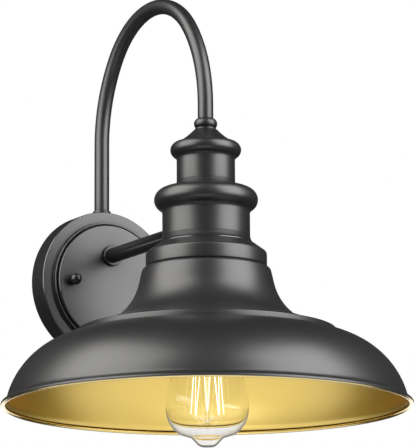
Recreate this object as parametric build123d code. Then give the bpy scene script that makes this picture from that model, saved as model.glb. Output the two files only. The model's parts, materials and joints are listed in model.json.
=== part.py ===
"""Outdoor gooseneck wall lantern, as separate named sub-parts.

Millimetres, +Z up. The origin is the centre of the round canopy on the wall plane, the wall is Y = 0
and the lantern stands out towards -Y. The shade hangs on a vertical axis in front of the wall, and
every height of the shade, its spun stack, the lampholder and the bulb is given above the shade's rim.
"""
import os
from math import atan2, cos, degrees, radians, sin, sqrt, tan

from build123d import *

# ---------------------------------------------------------------- driving dimensions
# Where the shade hangs
AXIS_Y = -170.0                 # shade axis, in front of the wall
RIM_Z = -118.5                  # shade rim, below the canopy's centre

# Fits and clearances
THREAD_FIT = 0.05               # radial play of a plain "thread" in its nut
HOLE_PLAY = 0.15                # radial play of a nipple or screw in a sheet-metal hole
CAP_PLAY = 0.15                 # between the bulb's cap and the lampholder's shell

# Mounting strap and its hardware
STUD_SPACING = 69.85            # outlet-box standard, 2.75 in
STUD_D = 4.0
STUD_END_GAP = 0.8              # between a stud's end and the bottom of its ball nut's bore
STUD_END_CHAMFER = 0.5
SLOT_FROM_STUD = 9.525          # puts the slots 88.9 mm (3.5 in) apart
SLOT_W = 4.6
SLOT_LENGTH = 9.0
STRAP_END_WALL = 3.05           # beyond each slot
STRAP_WIDTH = 22.0
STRAP_T = 1.6
STRAP_FLANGE = 5.0              # height of the folded stiffening edges
STRAP_FLANGE_LENGTH = 56.0
STRAP_FLANGE_CORNER_R = 2.5
STRAP_CENTRE_HOLE_D = 11.0
STUD_NUT_AF = 7.0
STUD_NUT_H = 3.0
GROUND_X = 17.0
GROUND_SCREW_D = 4.8
GROUND_HEAD_D = 9.0
GROUND_HEAD_H = 2.4
SCREW_SLOT_W = 1.2
GROUND_SLOT_DEPTH = 1.1

# Gasket between canopy and wall
GASKET_T = 1.5
GASKET_W = 4.0
GASKET_INSET = 0.5
STRAP_PLAY = 2.5                # between the strap's ends and the gasket

# Tubes and the hollow threaded nipples that join them
TUBE_D = 12.0
TUBE_WALL = 1.0
NIPPLE_WALL = 1.3
NIPPLE_INSERT = 14.0            # length of a nipple inside its tube
NIPPLE_STICK_OUT = 1.3          # nipple showing past its lock nut
LOCK_NUT_WALL = 2.0             # across the flats, beyond the nipple
LOCK_NUT_H = 4.5
LOCK_WASHER_W = 2.5
LOCK_WASHER_T = 1.0
SADDLE_T = 2.0                  # saddle washer, at its thickest

# Canopy: deep round pan with a raised, double-stepped centre disc
CANOPY_SHEET = 1.2
CANOPY_EDGE_R = 2.4             # rounded front edge
RING_W = 10.6                   # rounded edge and flat ring round the first step
STEP_TREAD = 1.5                # first step to second step
STEP_SLOPE = 1.4                # second step to the edge of the disc
STEP_FOOT = 0.7
STEP_OUTER_H = 2.3
STEP_INNER_H = 3.1
STEP_EDGE_R = 0.35

# Ball nuts that hold the canopy on its studs
NUT_WASHER_D = 7.6
NUT_WASHER_T = 0.6
BALL_D = 9.2
BALL_NECK_D = 6.4
BALL_NECK_H = 0.8
BALL_BORE_DEPTH = 5.6

# Gooseneck: upright leg, oval three-arc arch, leg down to the shade
BUSHING_FOOT_W = 1.7            # bushing wall at its foot
BUSHING_TOP_W = 0.8             # bushing wall at its top
BUSHING_H = 4.6                 # above the canopy's round side
BUSHING_WALL_GAP = 1.8          # from the wall plane to the bushing
BUSHING_EDGE_GAP = 0.4          # from the bushing to the canopy's rounded edge
BUSHING_EDGE_R = 0.6
TUBE_IN_BUSHING = 3.2
ARCH_RISE = 95.0                # from the springing to the top of the centre line
CROWN_TUCK = 8.25               # how much smaller than half the span the crown's radius is
SHADE_LEG_RISE = 11.8           # straight tube between the coupling and the springing

# Stabiliser arm
ARM_ABOVE_FITTER = 15.4
ARM_COLLAR_WALL = 2.3
ARM_COLLAR_W = 3.0
ARM_COLLAR_EDGE_R = 0.8

# Ball coupling and cone cap under the gooseneck, as radii beyond the tube's
COUPLING_H = 7.6
COUPLING_MID_H = 3.7
COUPLING_TOP_W = 0.7
COUPLING_MID_W = 2.95
COUPLING_BOTTOM_W = 1.1
COUPLING_RING_W = 2.0
COUPLING_RING_H = 1.2
TUBE_IN_COUPLING = 2.0
CONE_H = 9.2
CONE_INSET = 2.6                # cone's foot inside the upper cup's neck line
CONE_TOP_ANGLE = 50.0           # below horizontal
CONE_LIP_H = 0.7

# Spun cups: a round bead on a straight neck, with a turned-out foot
CUP_SHEET = 1.2
BEAD_WRAP = 60.0                # how far the bead turns in under its widest point
COVE_R = 3.1
FOOT_COVE_R = 1.6
FOOT_LIP_H = 2.4
UPPER_CUP_H = 36.2
UPPER_BEAD_R = 6.5
UPPER_NECK_R = 22.0
UPPER_FOOT_W = 3.2
LOWER_CUP_H = 43.4
LOWER_BEAD_R = 9.5
LOWER_NECK_R = 33.2
LOWER_FOOT_W = 3.0

# Fitter collar
FITTER_H = 19.0
FITTER_LEDGE = 1.2              # flat top beyond the lower cup's foot
FITTER_SHOULDER_W = 8.6
FITTER_SHOULDER_ANGLE = 37.0
FITTER_TOP_CORNER_R = 1.2
FITTER_CORNER_R = 4.0
FITTER_FOOT_CORNER_R = 1.65
FITTER_SHEET = 1.5
FLANGE_W = 8.5                  # turned-in flanges of the collar and of the shade's top

# Shade: bell, small step, dome, flared and rolled rim
SHADE_SHEET = 1.2
SHADE_RIM_R = 155.0
RIM_BEAD_R = 1.8
LIP_LENGTH = 0.83               # straight lip on the bead
LIP_FLARE_R = 6.0
LIP_FLARE_TURN = 35.0
DOME_R = 70.7
DOME_END_ANGLE = 73.0           # below horizontal, as all of the shade's angles
DOME_TOP_ANGLE = 13.0
STEP_RISE = 2.92
STEP_LEDGE = 1.1
BELL_FOOT_ANGLE = 14.0
BELL_FLARE_ANGLE = 22.0
BELL_FLARE_R = 33.7
BELL_WALL_H = 13.73
BELL_WALL_ANGLE = 77.2
BELL_CORNER_R = 3.3
BELL_TOP_INSET = 0.4            # start of the bell's corner, inside the collar's wall

# Shade screws
SHADE_SCREW_COUNT = 3
SHADE_SCREW_D = 3.5
SHADE_SCREW_HEAD_D = 6.4
SHADE_SCREW_HEAD_H = 2.0
SHADE_SCREW_STICK_OUT = 1.0
SHADE_NUT_AF = 6.0
SHADE_NUT_H = 2.6
SHADE_NUT_CLEARANCE = 0.4       # between a nut's corners and the collar's wall

# Lampholder: porcelain body with a screw shell, hung from a stamped bracket
HOLDER_DROP = 8.6               # top of the porcelain, below the collar's top
HOLDER_H = 33.0
HOLDER_NECK_H = 10.0
HOLDER_WALL = 4.9
HOLDER_NECK_INSET = 1.9
HOLDER_SHOULDER_H = 3.0
HOLDER_EDGE_R = 0.9
HOLDER_ROOF_T = 3.5             # porcelain above the contact chamber
CHAMBER_R = 9.4
CHAMBER_H = 4.9
SHELL_SHEET = 0.4
SHELL_PLAY = 0.95               # between the shell and the porcelain
SHELL_RECESS = 1.6              # shell's end above the porcelain's
SHELL_OPENING_R = 8.6
BRACKET_T = 1.5
BRACKET_LENGTH = 34.0
BRACKET_WIDTH = 15.0
HOLDER_SCREW_OFFSET = 3.1       # holder screws, outside the chamber
HOLDER_SCREW_D = 3.0
HOLDER_SCREW_HEAD_D = 5.2
HOLDER_SCREW_HEAD_H = 1.7
HOLDER_SCREW_DEPTH = 7.0
TERMINAL_DROP = 3.8             # terminal screws, below the porcelain's top
TERMINAL_FLAT_DEPTH = 1.4
TERMINAL_D = 3.5
TERMINAL_HEAD_D = 6.4
TERMINAL_HEAD_H = 2.0
TERMINAL_DEPTH = 5.0
TERMINAL_SLOT_DEPTH = 1.0
CONTACT_STRIP_W = 6.0
CONTACT_STRIP_T = 0.5
CONTACT_BASE_LENGTH = 16.0
CONTACT_TONGUE_LENGTH = 12.0
CONTACT_REST_GAP = 0.05         # between the tongue and the bulb's contact
CONTACT_BUTTON_D = 4.0
CONTACT_SPACE = 3.0             # from the chamber's roof to the bulb's contact
RIVET_D = 2.4
RIVET_X = 5.6
RIVET_HEAD_H = 0.4
RIVET_HEAD_D = 3.6
RIVET_DEPTH = 2.2               # into the porcelain

# Bulb: screw cap, clear pear-shaped envelope with a tipped end, caged hairpin filament
CONTACT_R = 4.8
CONTACT_H = 1.6
CONTACT_EDGE_R = 0.9
INSULATOR_TOP_R = 5.6
INSULATOR_H = 4.3
CAP_R = 13.1
CAP_SHEET = 0.3
CAP_H = 21.4
CAP_TOP_W = 1.7                 # cap's top turned in round the black glass
GLASS_WALL = 0.9
GLASS_R = 31.4
GLASS_IN_CAP = 7.8
GLASS_NECK_H = 13.2             # straight neck below the cap
GLASS_TAPER_H = 58.0            # from the neck to where the taper meets the widest radius
GLASS_BELLY_H = 12.0            # from there to the widest line
GLASS_BELLY_SHARE = 0.98        # of that height taken up by the belly's curve
GLASS_BOWL_R = 24.0
GLASS_BOWL_TURN = 55.0
GLASS_NECK_COVE_R = 30.0
GLASS_TIP_DROP = 29.5           # widest line to the tip
GLASS_TIP_BASE_R = 12.6
GLASS_TIP_BASE_H = 7.1
GLASS_TIP_CORNER_R = 6.2
GLASS_TIP_COVE_R = 4.0
GLASS_TIP_ROUND_R = 8.0
STEM_FLARE_WALL = 1.0
STEM_FLARE_RISE = 0.8           # flare's rim above the cap's lower edge
STEM_FLARE_H = 20.0
STEM_PRESS_R = 4.0
STEM_ROD_R = 1.9
STEM_END_R = 2.4
STEM_ROD_H = 75.0
CAGE_DROP = 20.0                # upper hooks below the flare
CAGE_H = 50.0
CAGE_TOP_R = 9.5
CAGE_BOTTOM_R = 12.6
CAGE_HOOKS = 8
FILAMENT_R = 0.30
HOOK_R = 0.50
SUPPORT_R = 0.25
SUPPORT_ROOT_DROP = 5.0         # how far the hooks' roots lie below the hooks, on the stem


# ---------------------------------------------------------------- derived sizes
def heading(angle_below_horizontal):
    """Unit direction outwards and down by an angle."""
    turn = radians(angle_below_horizontal)
    return (cos(turn), -sin(turn))


def arc_run(radius, steep, flat):
    """How far an arc goes outwards between two slopes below horizontal."""
    return radius * (sin(radians(steep)) - sin(radians(flat)))


def arc_drop(radius, steep, flat):
    """How far an arc goes down between two slopes below horizontal."""
    return radius * (cos(radians(flat)) - cos(radians(steep)))


# Wall side
BOX_SPACING = STUD_SPACING + 2 * SLOT_FROM_STUD
STRAP_LENGTH = BOX_SPACING + SLOT_LENGTH + 2 * STRAP_END_WALL
CANOPY_R = STRAP_LENGTH / 2 + STRAP_PLAY + GASKET_W + GASKET_INSET
STEP_OUTER_R = CANOPY_R - RING_W
STEP_INNER_R = STEP_OUTER_R - STEP_TREAD
DISC_R = STEP_INNER_R - STEP_SLOPE
TUBE_R = TUBE_D / 2
BUSHING_R = TUBE_R + BUSHING_FOOT_W
LEG_Y = -(BUSHING_WALL_GAP + BUSHING_R)
CANOPY_DEPTH = BUSHING_R - LEG_Y + BUSHING_EDGE_GAP + CANOPY_EDGE_R
DISC_DEPTH = CANOPY_DEPTH + STEP_OUTER_H + STEP_INNER_H
STUD_LENGTH = DISC_DEPTH + NUT_WASHER_T + BALL_BORE_DEPTH - STUD_END_GAP

# Nipples and their nuts
NIPPLE_R = TUBE_R - TUBE_WALL
NIPPLE_BORE_R = NIPPLE_R - NIPPLE_WALL
NIPPLE_HOLE_R = NIPPLE_R + HOLE_PLAY
LOCK_NUT_AF = 2 * (NIPPLE_R + LOCK_NUT_WALL)
LOCK_WASHER_R = NIPPLE_R + LOCK_WASHER_W

# Radii of the stack, from the cups' necks outwards
UPPER_FOOT_R = UPPER_NECK_R + UPPER_FOOT_W
LOWER_FOOT_R = LOWER_NECK_R + LOWER_FOOT_W
CONE_FOOT_R = UPPER_NECK_R - CONE_INSET
COUPLING_RING_R = TUBE_R + COUPLING_RING_W
FITTER_SHOULDER_R = LOWER_FOOT_R + FITTER_LEDGE
FITTER_R = FITTER_SHOULDER_R + FITTER_SHOULDER_W
FLANGE_INNER_R = FITTER_R - FLANGE_W
SHADE_SCREW_CIRCLE_R = FITTER_R - FITTER_SHEET - SHADE_NUT_AF / sqrt(3) - SHADE_NUT_CLEARANCE

# Heights above the rim, from the rim upwards
LIP_ANGLE = DOME_END_ANGLE - LIP_FLARE_TURN
LIP_RUN = LIP_LENGTH * cos(radians(LIP_ANGLE)) + arc_run(LIP_FLARE_R, DOME_END_ANGLE, LIP_ANGLE)
LIP_DROP = LIP_LENGTH * sin(radians(LIP_ANGLE)) + arc_drop(LIP_FLARE_R, DOME_END_ANGLE, LIP_ANGLE)
STEP_R = SHADE_RIM_R - RIM_BEAD_R - LIP_RUN - arc_run(DOME_R, DOME_END_ANGLE, DOME_TOP_ANGLE)
STEP_HEIGHT = 2 * RIM_BEAD_R + LIP_DROP + arc_drop(DOME_R, DOME_END_ANGLE, DOME_TOP_ANGLE)
BELL_TOP_R = FITTER_R - BELL_TOP_INSET
BELL_WALL_RUN = BELL_WALL_H / tan(radians(BELL_WALL_ANGLE))
FLARE_END_R = (
    BELL_TOP_R
    + arc_run(BELL_CORNER_R, BELL_WALL_ANGLE, 0)
    + BELL_WALL_RUN
    + arc_run(BELL_FLARE_R, BELL_WALL_ANGLE, BELL_FLARE_ANGLE)
)
APRON_R = (STEP_R - STEP_LEDGE - FLARE_END_R) / arc_run(1, BELL_FLARE_ANGLE, BELL_FOOT_ANGLE)
SHADE_TOP = (
    STEP_HEIGHT
    + STEP_RISE
    + arc_drop(APRON_R, BELL_FLARE_ANGLE, BELL_FOOT_ANGLE)
    + arc_drop(BELL_FLARE_R, BELL_WALL_ANGLE, BELL_FLARE_ANGLE)
    + BELL_WALL_H
    + arc_drop(BELL_CORNER_R, BELL_WALL_ANGLE, 0)
)
FITTER_TOP = SHADE_TOP + FITTER_H
LOWER_TOP = FITTER_TOP + LOWER_CUP_H
UPPER_TOP = LOWER_TOP + UPPER_CUP_H
CONE_TOP = UPPER_TOP + CONE_H
COUPLING_BOTTOM = CONE_TOP + COUPLING_RING_H
COUPLING_TOP = COUPLING_BOTTOM + COUPLING_H
SPRING_HEIGHT = COUPLING_TOP + SHADE_LEG_RISE
SHADE_LEG_FOOT = COUPLING_TOP - TUBE_IN_COUPLING
STEM_TOP = SHADE_LEG_FOOT + NIPPLE_INSERT
ARM_Z = RIM_Z + FITTER_TOP + ARM_ABOVE_FITTER
WALL_LEG_FOOT_Z = CANOPY_R + BUSHING_H - TUBE_IN_BUSHING

# Lampholder, from the collar's top downwards
HUB_TOP = FITTER_TOP - FITTER_SHEET - LOCK_WASHER_T
HOLDER_TOP = FITTER_TOP - HOLDER_DROP
HOLDER_BOTTOM = HOLDER_TOP - HOLDER_H
CHAMBER_ROOF = HOLDER_TOP - HOLDER_ROOF_T
SHELL_TOP = CHAMBER_ROOF - CHAMBER_H
SHELL_INNER_R = CAP_R + CAP_PLAY
SHELL_R = SHELL_INNER_R + SHELL_SHEET
HOLDER_BORE_R = SHELL_R + SHELL_PLAY
HOLDER_R = HOLDER_BORE_R + HOLDER_WALL
HOLDER_TOP_R = HOLDER_R - HOLDER_NECK_INSET
HOLDER_SCREW_X = CHAMBER_R + HOLDER_SCREW_OFFSET
TERMINAL_FLAT = HOLDER_TOP_R - TERMINAL_FLAT_DEPTH
TERMINAL_HEIGHT = HOLDER_TOP - TERMINAL_DROP

# Bulb, from its contact downwards
BULB_CONTACT_HEIGHT = CHAMBER_ROOF - CONTACT_SPACE
INSULATOR_TOP = BULB_CONTACT_HEIGHT - CONTACT_H
CAP_TOP = INSULATOR_TOP - INSULATOR_H
CAP_BOTTOM = CAP_TOP - CAP_H
CAP_OPENING_R = CAP_R - CAP_TOP_W
GLASS_NECK_R = CAP_R - CAP_SHEET
GLASS_NECK_TOP = CAP_BOTTOM + GLASS_IN_CAP
GLASS_TAPER_TOP = CAP_BOTTOM - GLASS_NECK_H
GLASS_TAPER_BOTTOM = GLASS_TAPER_TOP - GLASS_TAPER_H
GLASS_WIDEST = GLASS_TAPER_BOTTOM - GLASS_BELLY_H
BULB_TIP_HEIGHT = GLASS_WIDEST - GLASS_TIP_DROP
STEM_FLARE_R = GLASS_NECK_R - GLASS_WALL
STEM_FLARE_TOP = CAP_BOTTOM + STEM_FLARE_RISE
STEM_FLARE_BOTTOM = STEM_FLARE_TOP - STEM_FLARE_H
STEM_BOTTOM = STEM_FLARE_BOTTOM - STEM_ROD_H
CAGE_TOP = STEM_FLARE_BOTTOM - CAGE_DROP
CAGE_BOTTOM = CAGE_TOP - CAGE_H

NUT_TURNED_SHARE = 0.9          # of the way from a nut's corners to its flats
NUT_TURNED_ANGLE = 31.0
HEAD_ROUND_SHARE = 0.45         # rounding of a screw head, as a share of its height
FLAT_ALIGN = (Align.CENTER, Align.MAX, Align.MIN)
CLEAR_THROUGH = 60.0            # length of a cutter that has to pass right through


# ---------------------------------------------------------------- shared helpers
def above_rim(shape):
    """Moves a shape modelled on the Z axis, with heights above the rim, to the shade's place."""
    return Pos(0, AXIS_Y, RIM_Z) * shape


def spun(profile):
    """A solid of revolution about Z from a face drawn as (radius, height)."""
    return revolve(Plane.XZ * profile, Axis.Z)


def towards_room(shape):
    """Turns a shape built up along +Z so that it stands out from the wall towards -Y."""
    return Rot(90, 0, 0) * shape


def sheet(path, thickness):
    """Sheet-metal section that lies on the inner side of an outer path."""
    return make_face(offset(path, thickness, side=Side.RIGHT, kind=Kind.INTERSECTION))


def ring(outer_r, inner_r, bottom, top):
    """A plain ring on the Z axis."""
    height = top - bottom
    body = Cylinder(outer_r, height) - Cylinder(inner_r, height)
    return Pos(0, 0, (bottom + top) / 2) * body


def rod(radius, bottom, top):
    """A plain round bar on the Z axis."""
    return Pos(0, 0, (bottom + top) / 2) * Cylinder(radius, top - bottom)


def hex_nut(across_flats, height, bore_r):
    """A hexagon nut that stands on Z = 0, with both faces turned down at the corners."""
    corner_r = across_flats / sqrt(3)
    turned_w = (corner_r - across_flats / 2) * NUT_TURNED_SHARE
    turned_h = turned_w * tan(radians(NUT_TURNED_ANGLE))
    body = extrude(RegularPolygon(across_flats / 2, 6, major_radius=False), height)
    blank = chamfer(rod(corner_r, 0, height).edges().filter_by(GeomType.CIRCLE), turned_w, turned_h)
    return (body & blank) - rod(bore_r, 0, height)


def pan_screw(shank_d, shank_length, head_d, head_h):
    """A round-headed screw: the head stands on Z = 0 and the shank points down."""
    head = Pos(0, 0, head_h / 2) * Cylinder(head_d / 2, head_h)
    head = fillet(head.edges().group_by(Axis.Z)[-1], head_h * HEAD_ROUND_SHARE)
    return head + rod(shank_d / 2, -shank_length, 0)


# ---------------------------------------------------------------- canopy and wall hardware
def make_canopy():
    face_r = CANOPY_R - CANOPY_EDGE_R
    step_z = CANOPY_DEPTH + STEP_OUTER_H
    outline = FilletPolyline(
        (0, DISC_DEPTH),
        (DISC_R, DISC_DEPTH),
        (STEP_INNER_R, step_z),
        (STEP_OUTER_R - STEP_FOOT, step_z),
        (STEP_OUTER_R, CANOPY_DEPTH),
        (face_r, CANOPY_DEPTH),
        radius=STEP_EDGE_R,
    )
    edge = RadiusArc((face_r, CANOPY_DEPTH), (CANOPY_R, CANOPY_DEPTH - CANOPY_EDGE_R), CANOPY_EDGE_R)
    side = Line(edge @ 1, (CANOPY_R, GASKET_T))
    pan = towards_room(spun(sheet(outline + edge + side, CANOPY_SHEET)))
    stud_hole = towards_room(Cylinder(STUD_D / 2 + HOLE_PLAY, CLEAR_THROUGH))
    for x in (-STUD_SPACING / 2, STUD_SPACING / 2):
        pan -= Pos(x, 0, 0) * stud_hole
    pan -= Pos(0, 0, ARM_Z) * towards_room(Cylinder(NIPPLE_HOLE_R, CLEAR_THROUGH))
    pan -= Pos(0, LEG_Y, CANOPY_R) * Cylinder(NIPPLE_HOLE_R, CANOPY_R / 2)
    return pan


def make_gasket():
    outer_r = CANOPY_R - GASKET_INSET
    return towards_room(ring(outer_r, outer_r - GASKET_W, 0, GASKET_T))


def make_strap():
    plate = extrude(SlotOverall(STRAP_LENGTH, STRAP_WIDTH), STRAP_T)
    for side in (-1, 1):
        wall = Box(STRAP_FLANGE_LENGTH, STRAP_T, STRAP_FLANGE)
        wall = fillet(wall.edges().filter_by(Axis.Y).group_by(Axis.Z)[-1], STRAP_FLANGE_CORNER_R)
        plate += Pos(0, side * (STRAP_WIDTH - STRAP_T) / 2, STRAP_FLANGE / 2) * wall
    for side in (-1, 1):
        slot = extrude(SlotOverall(SLOT_LENGTH, SLOT_W), CLEAR_THROUGH, both=True)
        plate -= Pos(side * BOX_SPACING / 2, 0, 0) * slot
        plate -= Pos(side * STUD_SPACING / 2, 0, 0) * Cylinder(STUD_D / 2, CLEAR_THROUGH)
    plate -= Cylinder(STRAP_CENTRE_HOLE_D / 2, CLEAR_THROUGH)
    plate -= Pos(GROUND_X, 0, 0) * Cylinder(GROUND_SCREW_D / 2, CLEAR_THROUGH)
    return towards_room(plate)


def make_studs():
    stud = rod(STUD_D / 2, 0, STUD_LENGTH)
    stud = chamfer(stud.edges().filter_by(GeomType.CIRCLE).group_by(Axis.Z)[-1], STUD_END_CHAMFER)
    return [Pos(x, 0, 0) * towards_room(stud) for x in (-STUD_SPACING / 2, STUD_SPACING / 2)]


def make_stud_nuts():
    nut = Pos(0, 0, STRAP_T) * hex_nut(STUD_NUT_AF, STUD_NUT_H, STUD_D / 2)
    return [Pos(x, 0, 0) * towards_room(nut) for x in (-STUD_SPACING / 2, STUD_SPACING / 2)]


def make_ground_screw():
    screw = pan_screw(GROUND_SCREW_D, STRAP_T, GROUND_HEAD_D, GROUND_HEAD_H)
    slot = Box(CLEAR_THROUGH, SCREW_SLOT_W, 2 * GROUND_SLOT_DEPTH)
    screw -= Pos(0, 0, GROUND_HEAD_H) * slot
    return Pos(GROUND_X, 0, 0) * towards_room(Pos(0, 0, STRAP_T) * screw)


def make_nut_washer(x):
    washer = ring(NUT_WASHER_D / 2, STUD_D / 2 + THREAD_FIT, DISC_DEPTH, DISC_DEPTH + NUT_WASHER_T)
    return Pos(x, 0, 0) * towards_room(washer)


def make_ball_nut(x):
    seat = DISC_DEPTH + NUT_WASHER_T
    ball_r = BALL_D / 2
    centre = seat + BALL_NECK_H + sqrt(ball_r**2 - (BALL_NECK_D / 2) ** 2)
    body = Pos(0, 0, centre) * Sphere(ball_r)
    body += rod(BALL_NECK_D / 2, seat, centre)
    body -= Pos(0, 0, seat - ball_r) * Cylinder(ball_r, 2 * ball_r)
    body -= rod(STUD_D / 2 + THREAD_FIT, seat, seat + BALL_BORE_DEPTH)
    return Pos(x, 0, 0) * towards_room(body)


# ---------------------------------------------------------------- gooseneck
def gooseneck_path():
    """Centre line of the gooseneck in the Y-Z plane: straight, side arc, crown, side arc, straight."""
    half_span = (LEG_Y - AXIS_Y) / 2
    spring_z = RIM_Z + SPRING_HEIGHT
    crown_r = half_span - CROWN_TUCK
    crown_rise = ARCH_RISE - crown_r
    side_r = (half_span**2 + crown_rise**2 - crown_r**2) / (2 * CROWN_TUCK)
    side_turn = degrees(atan2(crown_rise, side_r - half_span))
    up_leg = Line((LEG_Y, WALL_LEG_FOOT_Z), (LEG_Y, spring_z))
    side_up = JernArc(up_leg @ 1, (0, 1), side_r, side_turn)
    crown = JernArc(side_up @ 1, side_up % 1, crown_r, 180 - 2 * side_turn)
    side_down = JernArc(crown @ 1, crown % 1, side_r, side_turn)
    down_leg = Line(side_down @ 1, (AXIS_Y, RIM_Z + SHADE_LEG_FOOT))
    return Plane.YZ * (up_leg + side_up + crown + side_down + down_leg)


def make_gooseneck_tube():
    path = gooseneck_path()
    start = Plane(origin=(0, LEG_Y, WALL_LEG_FOOT_Z), z_dir=(0, 0, 1))
    section = start * (Circle(TUBE_R) - Circle(NIPPLE_R))
    return sweep(section, path)


def make_bushing():
    """Stepped bushing that sits on the canopy's round side, around the foot of the gooseneck."""
    top = CANOPY_R + BUSHING_H
    base = CANOPY_R - 2 * BUSHING_EDGE_R
    body = Pos(0, 0, (top + base) / 2) * Cone(BUSHING_R, TUBE_R + BUSHING_TOP_W, top - base)
    body = fillet(body.edges().filter_by(GeomType.CIRCLE).group_by(Axis.Z)[-1], BUSHING_EDGE_R)
    body -= rod(TUBE_R, WALL_LEG_FOOT_Z, top + 1)
    body -= rod(NIPPLE_R, base - 1, top)
    body = Pos(0, LEG_Y, 0) * body
    return body - towards_room(Cylinder(CANOPY_R, CLEAR_THROUGH))


def make_gooseneck_saddle():
    """Saddle washer under the canopy's round side: curved above, flat below."""
    inner_r = CANOPY_R - CANOPY_SHEET
    body = Pos(0, LEG_Y, 0) * ring(LOCK_WASHER_R, NIPPLE_HOLE_R, inner_r - SADDLE_T, inner_r)
    return body & towards_room(Cylinder(inner_r, CLEAR_THROUGH))


def make_gooseneck_nut():
    seat = CANOPY_R - CANOPY_SHEET - SADDLE_T
    return Pos(0, LEG_Y, seat - LOCK_NUT_H) * hex_nut(LOCK_NUT_AF, LOCK_NUT_H, NIPPLE_R)


def make_gooseneck_nipple():
    bottom = CANOPY_R - CANOPY_SHEET - SADDLE_T - LOCK_NUT_H - NIPPLE_STICK_OUT
    tube_part = WALL_LEG_FOOT_Z + NIPPLE_INSERT
    return Pos(0, LEG_Y, 0) * ring(NIPPLE_R, NIPPLE_BORE_R, bottom, tube_part)


# ---------------------------------------------------------------- stabiliser arm
def neck_cylinder(radius):
    """A cylinder on the shade's axis that spans the lower cup's straight neck."""
    return Pos(0, AXIS_Y, ARM_Z) * Cylinder(radius, CLEAR_THROUGH)


def make_arm_tube():
    reach = -AXIS_Y
    tube = Pos(0, 0, ARM_Z) * towards_room(ring(TUBE_R, NIPPLE_R, DISC_DEPTH, reach))
    return tube - neck_cylinder(LOWER_NECK_R)


def make_arm_collar():
    body = ring(TUBE_R + ARM_COLLAR_WALL, TUBE_R, DISC_DEPTH, DISC_DEPTH + ARM_COLLAR_W)
    outer_edges = body.edges().filter_by(GeomType.CIRCLE).group_by(Axis.Z)[-1].sort_by(SortBy.RADIUS)
    body = fillet(outer_edges[-1], ARM_COLLAR_EDGE_R)
    return Pos(0, 0, ARM_Z) * towards_room(body)


def make_arm_wall_nipple():
    back = DISC_DEPTH - CANOPY_SHEET - LOCK_WASHER_T - LOCK_NUT_H - NIPPLE_STICK_OUT
    body = ring(NIPPLE_R, NIPPLE_BORE_R, back, DISC_DEPTH + NIPPLE_INSERT)
    return Pos(0, 0, ARM_Z) * towards_room(body)


def make_arm_wall_washer():
    back = DISC_DEPTH - CANOPY_SHEET - LOCK_WASHER_T
    body = ring(LOCK_WASHER_R, NIPPLE_HOLE_R, back, back + LOCK_WASHER_T)
    return Pos(0, 0, ARM_Z) * towards_room(body)


def make_arm_wall_nut():
    back = DISC_DEPTH - CANOPY_SHEET - LOCK_WASHER_T - LOCK_NUT_H
    nut = Pos(0, 0, back) * hex_nut(LOCK_NUT_AF, LOCK_NUT_H, NIPPLE_R)
    return Pos(0, 0, ARM_Z) * towards_room(nut)


def make_arm_shade_nipple():
    wall = -AXIS_Y - LOWER_NECK_R
    end = wall + CUP_SHEET + SADDLE_T + LOCK_NUT_H + NIPPLE_STICK_OUT
    return Pos(0, 0, ARM_Z) * towards_room(ring(NIPPLE_R, NIPPLE_BORE_R, wall - NIPPLE_INSERT, end))


def make_arm_shade_saddle():
    """Saddle washer inside the lower cup's neck: curved against the wall, flat under the nut."""
    start = -AXIS_Y - LOWER_NECK_R + CUP_SHEET
    body = ring(LOCK_WASHER_R, NIPPLE_HOLE_R, start, start + SADDLE_T)
    body = Pos(0, 0, ARM_Z) * towards_room(body)
    return body & neck_cylinder(LOWER_NECK_R - CUP_SHEET)


def make_arm_shade_nut():
    start = -AXIS_Y - LOWER_NECK_R + CUP_SHEET + SADDLE_T
    nut = Pos(0, 0, start) * hex_nut(LOCK_NUT_AF, LOCK_NUT_H, NIPPLE_R)
    return Pos(0, 0, ARM_Z) * towards_room(nut)


# ---------------------------------------------------------------- spun stack above the shade
def make_stem_nipple():
    return above_rim(ring(NIPPLE_R, NIPPLE_BORE_R, HOLDER_TOP + BRACKET_T / 2, STEM_TOP))


def make_ball_coupling():
    ball = ThreePointArc(
        (TUBE_R + COUPLING_TOP_W, COUPLING_TOP),
        (TUBE_R + COUPLING_MID_W, COUPLING_BOTTOM + COUPLING_MID_H),
        (TUBE_R + COUPLING_BOTTOM_W, COUPLING_BOTTOM),
    )
    foot = Polyline(
        ball @ 1,
        (COUPLING_RING_R, COUPLING_BOTTOM),
        (COUPLING_RING_R, CONE_TOP),
        (NIPPLE_R, CONE_TOP),
        (NIPPLE_R, SHADE_LEG_FOOT),
        (TUBE_R, SHADE_LEG_FOOT),
        (TUBE_R, COUPLING_TOP),
        ball @ 0,
    )
    return above_rim(spun(make_face(ball + foot)))


def make_cone_cap():
    flat = Line((NIPPLE_HOLE_R, CONE_TOP), (COUPLING_RING_R, CONE_TOP))
    foot = (CONE_FOOT_R, UPPER_TOP + CONE_LIP_H)
    flare = TangentArc(flat @ 1, foot, tangent=heading(CONE_TOP_ANGLE))
    base = Polyline(foot, (CONE_FOOT_R, UPPER_TOP), (NIPPLE_HOLE_R, UPPER_TOP), flat @ 0)
    return above_rim(spun(make_face(flat + flare + base)))


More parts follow.
